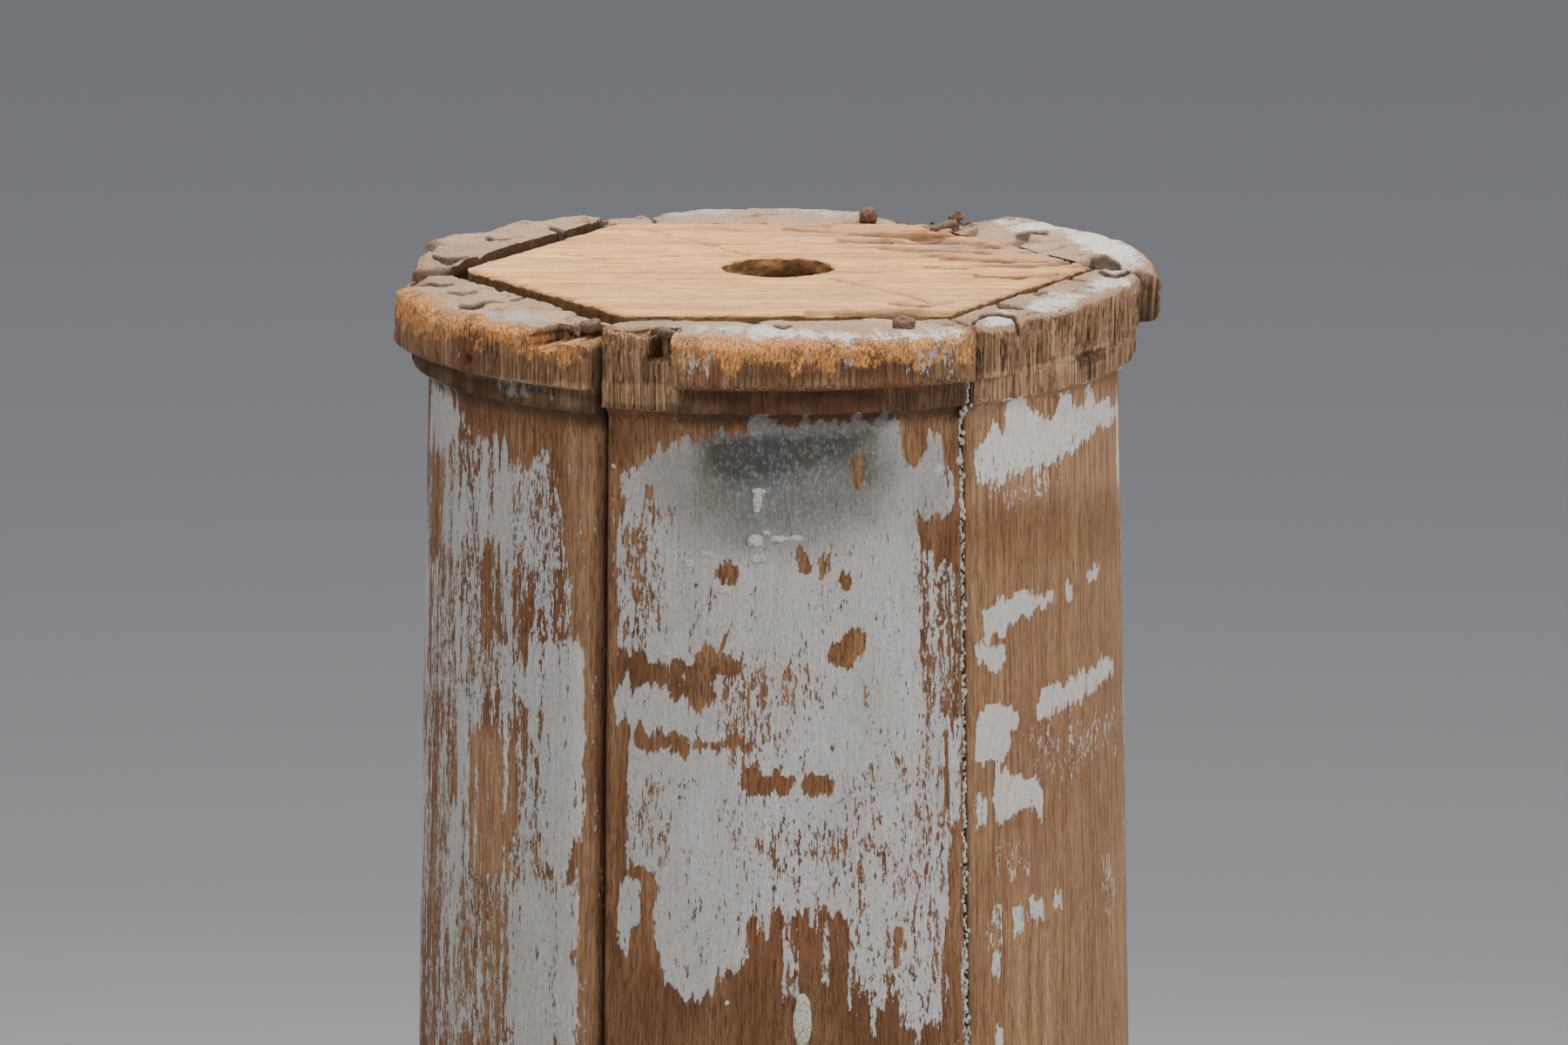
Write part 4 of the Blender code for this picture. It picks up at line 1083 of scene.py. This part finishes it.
# Nails: the CAD node each stands for, half sizes of its head in mm, how square, how high it stands
# in mm, its lean in degrees and the seed of its rust
nailFacts = {
    "nail_left_seam": {"head": (2.9, 2.6, 1.9), "square": 0.3, "lift": 0.2, "lean": (8, -12), "seed": 3},
    "nail_front_notch": {"head": (2.9, 2.4, 1.5), "square": 0.5, "lift": 0.0, "lean": (-6, 10), "seed": 5},
    "nail_front_right": {"head": (3.1, 2.7, 1.7), "square": 0.6, "lift": 0.0, "lean": (4, 6), "seed": 7},
    "nail_back": {"head": (2.5, 2.5, 2.4), "square": 1.0, "lift": 0.1, "lean": (3, -5), "seed": 9},
    "nail_right_back": {
        "head": (2.3, 2.0, 1.6), "square": 0.4, "lift": 0.6, "lean": (-16, -24), "seed": 11},
}
nailShank = {"segments": 8, "radius1": 0.0007, "radius2": 0.0013}  # its point and its neck
bentShank = {"from": (1096, 256), "to": (1069, 263), "thick": 1.1, "height": 1.2}  # pixels and mm
ironNoise = {
    "flakes": ((0.0013,) * 3, 200, 3, 0.5, 0.0013),
    "lumps": ((0.0028,) * 3, 210, 1, 0.5, 0.0010),
}


def bentRod(bm, level):  # the shank of the bent nail, lying on the wood
    ends = [Vector((*fromPixel(*bentShank[end], level), level)) for end in ("from", "to")]
    run = ends[1] - ends[0]
    thick = bentShank["thick"] / 1000
    bmesh.ops.create_cone(
        bm, cap_ends=True, segments=12, radius1=thick, radius2=thick * 0.6, depth=run.length)
    uprights = [edge for edge in bm.edges if abs(edge.verts[0].co.z - edge.verts[1].co.z) > 0.002]
    bmesh.ops.subdivide_edges(bm, edges=uprights, cuts=8)
    bmesh.ops.rotate(bm, verts=bm.verts, cent=(0, 0, 0), matrix=run.to_track_quat("Z", "Y").to_matrix())
    lifted = Vector((0, 0, bentShank["height"] / 1000 - thick))
    bmesh.ops.translate(bm, verts=bm.verts, vec=(ends[0] + ends[1]) / 2 + lifted)


def makeNail(node, finish):
    facts = nailFacts[node]
    low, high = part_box(node)
    middle = (low + high) / 2
    headX, headY, headZ = (size / 1000 for size in facts["head"])
    headHeight = high[2] - headZ + facts["lift"] / 1000
    bm = bmesh.new()
    if node == "nail_right_back":
        bentRod(bm, high[2])
    head = bmesh.ops.create_icosphere(bm, subdivisions=4, radius=1)["verts"]
    for vert in head:  # from round towards the square of a hand-cut head
        flat = max(abs(vert.co.x), abs(vert.co.y), 0.01)
        grow = 1 + facts["square"] * (math.hypot(vert.co.x, vert.co.y) / flat - 1) * 0.8
        vert.co.x, vert.co.y = vert.co.x * grow, vert.co.y * grow
        vert.co.z = math.copysign(abs(vert.co.z) ** 0.5, vert.co.z)
    bmesh.ops.scale(bm, verts=head, vec=(headX, headY, headZ))
    for axis, lean in zip("XY", facts["lean"]):
        turn = Matrix.Rotation(math.radians(lean), 3, axis)
        bmesh.ops.rotate(bm, verts=head, cent=(0, 0, 0), matrix=turn)
    length = headHeight - low[2]
    shank = bmesh.ops.create_cone(bm, cap_ends=True, depth=length, **nailShank)["verts"]
    bmesh.ops.translate(bm, verts=shank, vec=(0, 0, -length / 2))
    bmesh.ops.translate(bm, verts=[*head, *shank], vec=(middle.x, middle.y, headHeight))
    mesh = meshFrom(bm, node + "_iron")
    points = getPoints(mesh)
    rust = uneven(points, ironNoise["flakes"], facts["seed"])
    rust = rust + uneven(points, ironNoise["lumps"], facts["seed"])
    setPoints(mesh, points + getPoints(mesh, "normal") * rust[:, None])
    mesh.shade_smooth()
    addPiece(node + "_iron", mesh, finish, "rusted_iron", node)


# Putty: crumbs of it all down the right front seam, and drips and lumps on the front stave
puttyFacts = {
    "seamDegrees": -58.0,
    "spacing": 0.00058,  # between crumbs
    "crumb": (0.00030, 0.00076),  # smallest and largest radius
    "lumps": (0.06, 1.7),  # this share of them is so many times as large
    "from": 0.012,
    "to": 0.985,
    "sunk": 0.0006,
    "aside": -0.0004,
    "scatter": (0.0002, 0.00055),  # outward and sideways
    "headRadius": 0.1046,  # of the seam over the fillet
    "dripsProud": 0.0001,
}
puttyNoise = {
    "rough": ((0.0016,) * 3, 301, 3, 0.5, 0.0008),
    "wander": ((0.0022,) * 3, 302, 3, 0.5, 0.0014),
    "rise": ((0.0022,) * 3, 303, 3, 0.5, 0.0010),
}
puttyDrips = (  # middle in the photograph's pixels, half sizes in mm across and up, how thick
    ("dripTall", 869, 576, 1.3, 3.2, 0.6),
    ("dripTop", 872, 565, 2.0, 1.1, 0.7),
    ("lumpLong", 893, 619, 2.6, 1.1, 0.8),
    ("lumpLeft", 867, 621, 2.2, 1.8, 0.9),
    ("lumpSmall", 880, 612, 1.1, 0.9, 0.7),
    ("lumpLow", 871, 641, 2.4, 1.4, 0.6),
    ("lumpEdge", 913, 618, 2.2, 1.0, 0.5),
    ("blobLeft", 790, 647, 1.5, 1.2, 0.8),
    ("blobMiddle", 812, 636, 2.2, 1.1, 0.8),
    ("lumpChip", 832, 678, 2.3, 1.5, 0.4),
    ("creamSpot", 1078, 540, 1.6, 2.0, 0.3),
    ("dotLeft", 704, 535, 0.7, 0.8, 0.4),
    ("runFoot", 921, 1172, 2.6, 8.0, 0.5),
    ("dotLow", 834, 1151, 0.6, 0.8, 0.4),
)


def onShaft(px, py):  # the place on the turned shaft that the photograph shows at a pixel
    ray = pixelRay(px, py)
    radius = 0.1
    for again in range(6):
        a = ray[0] ** 2 + ray[1] ** 2
        b = 2 * (eye[0] * ray[0] + eye[1] * ray[1])
        c = eye[0] ** 2 + eye[1] ** 2 - radius**2
        reach = (-b - math.sqrt(b * b - 4 * a * c)) / (2 * a)
        place = eye + ray * reach
        radius = shaftRadius(place[2], columnShape["headTop"])
    return place


def seamRadius(height):  # of the shaft, the cavetto and the fillet
    over = height - columnShape["shaftTop"]
    if over > columnShape["filletHeight"] + columnShape["filletStep"]:
        return puttyFacts["headRadius"]
    if over > 0:
        return columnShape["neckRadius"] + min(1, over / 0.004) * columnShape["filletStep"]
    return shaftRadius(height, columnShape["headTop"])


def makePutty(finish):
    random = np.random.default_rng(58)
    bm = bmesh.new()
    seam = math.radians(puttyFacts["seamDegrees"])
    sideways = Vector((-math.sin(seam), math.cos(seam), 0))
    outward = Vector((math.cos(seam), math.sin(seam), 0))
    lumpShare, lumpSize = puttyFacts["lumps"]
    outScatter, sideScatter = puttyFacts["scatter"]
    height = puttyFacts["from"]
    while height < puttyFacts["to"]:
        size = random.uniform(*puttyFacts["crumb"]) * (lumpSize if random.random() < lumpShare else 1)
        crumb = bmesh.ops.create_icosphere(bm, subdivisions=1, radius=size)["verts"]
        stretch = random.uniform(0.7, 1.3, 3) * (1, 1, 1.5)
        bmesh.ops.scale(bm, verts=crumb, vec=stretch)
        turn = Euler(random.uniform(-0.5, 0.5, 3)).to_matrix()
        bmesh.ops.rotate(bm, verts=crumb, cent=(0, 0, 0), matrix=turn)
        reach = seamRadius(height) - puttyFacts["sunk"] + random.normal(0, outScatter)
        place = outward * reach + sideways * random.normal(puttyFacts["aside"], sideScatter)
        bmesh.ops.translate(bm, verts=crumb, vec=(place.x, place.y, height))
        height += puttyFacts["spacing"] * random.uniform(0.35, 1.5)
    mesh = meshFrom(bm, "seam_putty")
    mesh.shade_smooth()
    addPiece("seam_putty", mesh, finish, "stave_wood")

    bm = bmesh.new()
    for title, px, py, halfAcross, halfUp, thick in puttyDrips:
        place = onShaft(px, py)
        direction = math.atan2(place[1], place[0])
        outward = Vector((math.cos(direction), math.sin(direction), 0))
        drip = bmesh.ops.create_icosphere(bm, subdivisions=4, radius=1)["verts"]
        bmesh.ops.scale(bm, verts=drip, vec=(thick / 1000, halfAcross / 1000, halfUp / 1000))
        bmesh.ops.rotate(bm, verts=drip, cent=(0, 0, 0), matrix=Matrix.Rotation(direction, 3, "Z"))
        bmesh.ops.translate(bm, verts=drip, vec=Vector(place) + outward * puttyFacts["dripsProud"])
    mesh = meshFrom(bm, "putty_drips")
    points = getPoints(mesh)
    away = np.hypot(points[:, 0], points[:, 1]) + uneven(points, puttyNoise["rough"])
    angle = np.arctan2(points[:, 1], points[:, 0]) + uneven(points, puttyNoise["wander"]) / 0.1
    points = ringPoints(away, angle, points[:, 2])
    points[:, 2] += uneven(points, puttyNoise["rise"])
    setPoints(mesh, points)
    mesh.shade_smooth()
    addPiece("putty_drips", mesh, finish, "stave_wood")
    print("putty", len(mesh.polygons), "faces in the drips")


# Materials


def hexColour(code):
    parts = [int(code[start:start + 2], 16) / 255 for start in (1, 3, 5)]
    return (*(part / 12.92 if part <= 0.04045 else ((part + 0.055) / 1.055) ** 2.4 for part in parts), 1.0)


def addNode(tree, kind, settings=None, inputs=None):
    node = tree.nodes.new(kind)
    for key, value in (settings or {}).items():
        setattr(node, key, value)
    for key, value in (inputs or {}).items():
        if isinstance(value, bpy.types.NodeSocket):
            tree.links.new(value, node.inputs[key])
        else:
            node.inputs[key].default_value = value
    return node


# A finish holds its colours, patterns, marks, steps, shader inputs and bumps, all named. A pattern
# is how many cells a metre has along x, y and z, their detail, and which values spread to 0 and 1.
# The grain's bend is how many waves a metre has and how far they push it. A mark is an attribute
# that setMarks left on the mesh. A bump is its strength, distance and the result it follows.
def addPatterns(tree, values, finish):
    place = addNode(tree, "ShaderNodeTexCoord").outputs["Object"]
    if "bend" in finish:
        waves, push = finish["bend"]
        wave = addNode(tree, "ShaderNodeTexNoise", {}, {"Vector": place, "Scale": waves, "Detail": 2.0})
        place = addNode(tree, "ShaderNodeVectorMath", {"operation": "MULTIPLY_ADD"}, {
            0: wave.outputs["Color"], 1: push, 2: place}).outputs[0]
    for name, (scale, detail, low, high) in finish["patterns"].items():
        stretched = addNode(tree, "ShaderNodeVectorMath", {"operation": "MULTIPLY"}, {0: place, 1: scale})
        noise = addNode(tree, "ShaderNodeTexNoise", {}, {
            "Vector": stretched.outputs[0], "Scale": 1.0, "Detail": detail, "Roughness": 0.62})
        spread = addNode(tree, "ShaderNodeMapRange", {}, {
            "Value": noise.outputs["Fac"], "From Min": low, "From Max": high})
        values[name] = spread.outputs["Result"]
    for name in finish.get("marks", ()):
        mark = addNode(tree, "ShaderNodeAttribute", {"attribute_name": name})
        values[name + "Mark"] = mark.outputs["Fac"]


# A step is the result's name, what is done, and what with, in words for earlier results. MIX lays
# its second over its first by its third, times its fourth. RANGE spreads its first from its second
# and third to 0 and 1, or to its fourth and fifth. The rest are Math operations.
def addSteps(tree, values, steps):
    for name, work, *parts in steps:
        parts = [values[part] if isinstance(part, str) else part for part in parts]
        kind, settings, keys = "ShaderNodeMath", {"operation": work}, (0, 1)
        if work == "RANGE":
            kind, settings = "ShaderNodeMapRange", {}
            keys = ("Value", "From Min", "From Max", "To Min", "To Max")
        if work == "MIX":
            kind, settings, keys = "ShaderNodeMixRGB", {}, ("Color1", "Color2", "Fac")
            if len(parts) > len(keys):
                factors = {0: parts[2], 1: parts[3]}
                parts[2] = addNode(tree, "ShaderNodeMath", {"operation": "MULTIPLY"}, factors).outputs[0]
        values[name] = addNode(tree, kind, settings, dict(zip(keys, parts))).outputs[0]


def makeMaterial(name, finish):
    material = bpy.data.materials.new(name)
    material.use_nodes = True
    tree = material.node_tree
    tree.nodes.clear()
    values = {key: hexColour(code) for key, code in finish["colours"].items()}
    if "patterns" in finish:
        addPatterns(tree, values, finish)
        addSteps(tree, values, finish["steps"])
    inputs = dict(finish["shader"])
    for key, part in finish["shader"].items():
        if isinstance(part, str):
            inputs[key] = values[part]
    for strength, distance, relief in finish.get("bumps", ()):
        bump = {"Strength": strength, "Distance": distance, "Height": values[relief]}
        if "Normal" in inputs:
            bump["Normal"] = inputs["Normal"]
        inputs["Normal"] = addNode(tree, "ShaderNodeBump", {}, bump).outputs["Normal"]
    shader = addNode(tree, "ShaderNodeBsdfPrincipled", {}, inputs)
    addNode(tree, "ShaderNodeOutputMaterial", {}, {"Surface": shader.outputs["BSDF"]})
    return material


# Old hardwood, planed then left bare and painted: matt brown fibres, bleached ends, flaking pale oil paint
weatheredStaveWood = {
    "colours": {
        "woodDark": "#4c2f1c",
        "woodRed": "#7d4526",
        "woodMid": "#9b7049",
        "woodLight": "#bd9366",
        "tornDark": "#412b1a",
        "tornDeep": "#24160d",
        "tornLight": "#c19b74",
        "fuzz": "#ffb568",
        "fuzzDark": "#9a5c2a",
        "paleDark": "#8f6746",
        "paleLight": "#dcb38a",
        "deep": "#3c200f",
        "greyTop": "#93745a",
        "greyWhite": "#dcbb9b",
        "dirtAndShade": "#25180f",
        "paint": "#bcbab5",
        "paintLight": "#cdccca",
        "paintLit": "#f6ece0",
        "paintGrime": "#8d8579",
        "paintStain": "#4b4533",
        "paintShadow": "#41413f",
    },
    "bend": (22.0, (0.004, 0.004, 0.0)),
    "patterns": {
        "fibre": ((1050, 1050, 24), 4.0, 0.30, 0.70),  # about 1 mm across, 40 mm long
        "pore": ((2300, 2300, 190), 1.0, 0.52, 0.68),  # vessels 0.4 mm across, 5 mm long
        "figure": ((150, 150, 7), 2.0, 0.32, 0.68),
        "blotch": ((34, 34, 14), 3.0, 0.34, 0.66),
        "flake": ((330, 330, 60), 4.0, 0.31, 0.69),  # flakes 3 mm across, 16 mm long
        "chip": ((1000, 1000, 240), 3.0, 0.33, 0.67),  # chips 1 mm across, 4 mm long
        "split": ((1500, 1500, 34), 2.0, 0.50, 0.66),  # drying splits in the torn faces
        "weave": ((1900, 1900, 700), 2.0, 0.35, 0.65),  # brush marks and raised fibres under the paint
        "crumb": ((1500, 1500, 1200), 3.0, 0.30, 0.70),
        "speck": ((2600, 2600, 1600), 1.0, 0.60, 0.74),
        "ridge": ((1350, 1350, 18), 3.0, 0.38, 0.62),  # the torn faces' bundles of fibre
        "wisp": ((1500, 1500, 520), 4.0, 0.34, 0.66),
        "fray": ((1900, 1900, 560), 2.0, 0.34, 0.66),  # crumbs at the edges of the paint
        "mottle": ((820, 820, 620), 5.0, 0.34, 0.66),
    },
    "marks": ("paint", "torn", "fuzz", "grey", "dirtAndShade", "stain", "toneAndLight"),
    "steps": (
        ("wood", "MIX", "woodMid", "woodLight", "figure"),
        ("wood", "MIX", "wood", "woodRed", "blotch", 0.75),
        ("gaps", "SUBTRACT", 1.0, "fibre"),
        ("wood", "MIX", "wood", "woodDark", "gaps", 0.72),
        ("wood", "MIX", "wood", "woodDark", "pore", 0.75),
        # torn faces
        ("torn", "MIX", "tornDark", "tornLight", "ridge"),
        ("torn", "MIX", "torn", "woodMid", "figure", 0.45),
        ("torn", "MIX", "torn", "tornDeep", "split", 0.75),
        ("wood", "MIX", "wood", "torn", "tornMark"),
        # paler and darker places, with painted shade under the moulding and painted light on the right side
        # and the tops
        ("lift", "RANGE", "toneAndLightMark", 0.0, 1.0),
        ("darkAndShaded", "RANGE", "toneAndLightMark", 0.0, -1.0),
        ("pale", "MIX", "paleDark", "paleLight", "ridge"),
        ("wood", "MIX", "wood", "pale", "lift", 0.75),
        ("wood", "MIX", "wood", "deep", "darkAndShaded", 0.8),
        # fuzz of raised fibres
        ("fuzzy", "MIX", "fuzzDark", "fuzz", "wisp"),
        ("tufts", "MULTIPLY", "wisp", 0.8),
        ("crumbs", "MULTIPLY", "crumb", 0.4),
        ("tufts", "ADD", "tufts", "crumbs"),
        ("tufts", "SUBTRACT", "tufts", 0.6),
        ("tufts", "ADD", "fuzzMark", "tufts"),
        ("tufts", "RANGE", "tufts", 0.15, 0.85),
        ("onFuzz", "RANGE", "fuzzMark", 0.0, 0.2),
        ("tufts", "MULTIPLY", "tufts", "onFuzz"),
        ("wood", "MIX", "wood", "fuzzy", "tufts", 0.9),
        # bleached ends
        ("ends", "MIX", "greyTop", "greyWhite", "crumb"),
        ("ends", "MIX", "ends", "woodMid", "blotch", 0.55),
        ("ends", "MIX", "ends", "woodDark", "speck", 0.5),
        ("onEnds", "RANGE", "greyMark", 0.25, 0.75),
        ("wood", "MIX", "wood", "ends", "onEnds"),
        # where paint is left
        ("flakes", "MULTIPLY", "flake", 0.30),
        ("chips", "MULTIPLY", "chip", 0.42),
        ("frays", "MULTIPLY", "fray", 0.28),
        ("flaking", "ADD", "flakes", "chips"),
        ("flaking", "ADD", "flaking", "frays"),
        ("flaking", "RANGE", "flaking", 0.16, 0.84),
        ("painted", "SUBTRACT", "paintMark", "flaking"),
        ("painted", "RANGE", "painted", -0.035, 0.035),
        # the paint's own colour, its grime and its stain
        ("coat", "MIX", "paint", "paintLight", "blotch"),
        ("coat", "MIX", "coat", "woodMid", "gaps", 0.26),
        ("brushed", "SUBTRACT", 1.0, "weave"),
        ("coat", "MIX", "coat", "paintGrime", "brushed", 0.30),
        ("coat", "MIX", "coat", "woodDark", "speck", 0.45),
        # the paint made paler where the tone mark lifts it: painted light on the right side, painted
        # highlight on the white tops
        ("coat", "MIX", "coat", "paintLit", "lift", 0.7),
        ("stained", "MIX", "paintStain", "paintShadow", "blotch"),
        ("patchy", "RANGE", "mottle", -1.5, 0.6),
        ("coat", "MIX", "coat", "stained", "patchy", "stainMark"),
        ("surface", "MIX", "wood", "coat", "painted"),
        # darkened by the dark mark: dirt in seams and cracks, and painted shade under the astragal and on
        # the inner faces
        ("grimeAndShade", "RANGE", "dirtAndShadeMark", 0.1, 1.1),
        ("surface", "MIX", "surface", "dirtAndShade", "grimeAndShade", 0.86),
        # relief
        ("relief", "MULTIPLY", "fibre", 0.8),
        ("crumbs", "MULTIPLY", "crumb", 0.5),
        ("relief", "ADD", "relief", "crumbs"),
        ("pores", "MULTIPLY", "pore", 0.7),
        ("relief", "SUBTRACT", "relief", "pores"),
        ("splits", "MULTIPLY", "split", "tornMark"),
        ("splits", "MULTIPLY", "splits", 1.5),
        ("relief", "SUBTRACT", "relief", "splits"),
        ("brushing", "MULTIPLY", "weave", 0.5),
        ("relief", "ADD", "relief", "brushing"),
        ("rough", "RANGE", "painted", 0.0, 1.0, 0.82, 0.62),
    ),
    "shader": {"Base Color": "surface", "Roughness": "rough", "IOR": 1.45, "Specular IOR Level": 0.35},
    "bumps": ((0.8, 0.0006, "relief"), (0.9, 0.0004, "painted")),
}
# A dry, bleached plank, planed: pale tan with thin red-brown growth lines along it
bleachedBoardWood = {
    "colours": {
        "light": "#ffc77f",
        "tan": "#d1924f",
        "red": "#935226",
        "brown": "#56341b",
        "grey": "#8b8078",
        "dark": "#25160c",
        "rust": "#8f522a",
    },
    "bend": (14.0, (0.0, 0.006, 0.0)),
    "patterns": {
        "fibre": ((110, 1000, 1000), 4.0, 0.32, 0.68),  # strokes 1 mm across, 9 mm long
        "stroke": ((60, 520, 520), 5.0, 0.40, 0.66),
        "streak": ((14, 210, 210), 4.0, 0.44, 0.68),
        "line": ((30, 560, 560), 3.0, 0.52, 0.68),
        "band": ((5, 60, 60), 2.0, 0.35, 0.68),
        "pore": ((240, 2300, 2300), 1.0, 0.56, 0.72),
        "blotch": ((26, 44, 30), 3.0, 0.36, 0.68),
        "cool": ((8, 30, 30), 2.0, 0.48, 0.70),
        "speck": ((1500, 1500, 1500), 1.0, 0.62, 0.76),
    },
    "marks": ("dirtAndShade", "grey", "inside"),
    "steps": (
        ("wood", "MIX", "light", "tan", "band", 0.7),
        ("wood", "MIX", "wood", "red", "streak", 0.36),
        ("wood", "MIX", "wood", "brown", "line", 0.30),
        ("gaps", "SUBTRACT", 1.0, "fibre"),
        ("wood", "MIX", "wood", "red", "gaps", 0.42),
        ("wood", "MIX", "wood", "brown", "stroke", 0.42),
        ("wood", "MIX", "wood", "grey", "cool", 0.30),
        ("wood", "MIX", "wood", "dark", "pore", 0.6),
        ("aged", "MIX", "tan", "grey", "blotch"),
        ("aged", "MIX", "aged", "rust", "fibre", 0.4),
        ("wood", "MIX", "wood", "aged", "greyMark", 0.85),
        ("wood", "MIX", "wood", "dark", "speck", 0.3),
        ("wood", "MIX", "wood", "rust", "insideMark", 0.35),
        # darkened by the dark mark: cracks and edges, and painted shade on the sides and down the bore
        ("wood", "MIX", "wood", "dark", "dirtAndShadeMark", 0.9),
        ("relief", "MULTIPLY", "fibre", 0.8),
        ("pores", "MULTIPLY", "pore", -0.6),
        ("relief", "ADD", "relief", "pores"),
    ),
    "shader": {"Base Color": "wood", "Roughness": 0.8, "IOR": 1.45, "Specular IOR Level": 0.3},
    "bumps": ((0.5, 0.0004, "relief"),),
}
# Wrought iron under old rust: matt flaky red-brown with near black pits
rustedIron = {
    "colours": {"dark": "#2b1d15", "brown": "#5d412e", "pink": "#8b6c50", "black": "#17110f"},
    "patterns": {
        "flake": ((900, 900, 900), 4.0, 0.34, 0.66),
        "pit": ((1900, 1900, 1900), 2.0, 0.55, 0.70),
    },
    "steps": (
        ("scale", "MIX", "dark", "pink", "flake"),
        ("scale", "MIX", "scale", "brown", 0.5),
        ("scale", "MIX", "scale", "black", "pit"),
    ),
    "shader": {"Base Color": "scale", "Roughness": 0.85},
    "bumps": ((0.6, 0.0003, "flake"),),
}
# Hard, dusty linseed putty: cream, chalky and matt, with grey dirt in its hollows
oldPutty = {
    "colours": {"cream": "#b3ae98", "white": "#b8b6ad", "shade": "#767163"},
    "patterns": {
        "lump": ((260, 260, 260), 3.0, 0.36, 0.66),
        "grain": ((1500, 1500, 1500), 2.0, 0.45, 0.72),
    },
    "steps": (
        ("body", "MIX", "cream", "white", "lump"),
        ("body", "MIX", "body", "shade", "grain"),
    ),
    "shader": {"Base Color": "body", "Roughness": 0.7},
    "bumps": ((0.4, 0.0003, "grain"),),
}
# A matt, pale studio floor
paleFloor = {"colours": {"floor": "#b9b9ba"}, "shader": {"Base Color": "floor", "Roughness": 0.9}}

# The studio: a plain floor and large soft lights
studio = {
    "floorHalf": 14.0,
    "world": "#dfe3ea",
    "worldStrength": 0.42,
    "litPoint": (0, 0, 0.93),
    "lights": (  # name, place, size in m, power in W
        ("keyLight", (-1.5, -2.0, 2.5), 1.6, 44),
        ("fillLight", (2.2, -1.4, 1.9), 1.8, 58),
        ("topLight", (0.1, 0.5, 2.9), 1.6, 85),
        ("backLight", (0.6, 2.4, 1.8), 1.6, 22),
    ),
}


def makeStudio():
    bm = bmesh.new()
    bmesh.ops.create_grid(bm, x_segments=1, y_segments=1, size=studio["floorHalf"])
    mesh = meshFrom(bm, "studioFloor")
    mesh.materials.append(makeMaterial("paleFloor", paleFloor))
    floor = bpy.data.objects.new("studioFloor", mesh)
    bpy.context.scene.collection.objects.link(floor)
    world = bpy.data.worlds.new("studioWorld")
    world.use_nodes = True
    background = world.node_tree.nodes["Background"]
    background.inputs["Color"].default_value = hexColour(studio["world"])
    background.inputs["Strength"].default_value = studio["worldStrength"]
    bpy.context.scene.world = world
    for name, place, size, power in studio["lights"]:
        data = bpy.data.lights.new(name, "AREA")
        data.shape = "DISK"
        data.size = size
        data.energy = power
        light = bpy.data.objects.new(name, data)
        bpy.context.scene.collection.objects.link(light)
        light.location = place
        towards = Vector(studio["litPoint"]) - Vector(place)
        light.rotation_euler = towards.to_track_quat("-Z", "Y").to_euler()


makeCamera()
makeStudio()
staveWood = makeMaterial("weatheredStaveWood", weatheredStaveWood)
for staveName in staveFacts:
    makeStave(staveName, staveWood)
makeBoard(makeMaterial("bleachedBoardWood", bleachedBoardWood))
iron = makeMaterial("rustedIron", rustedIron)
for nailName in nailFacts:
    makeNail(nailName, iron)
makePutty(makeMaterial("oldPutty", oldPutty))
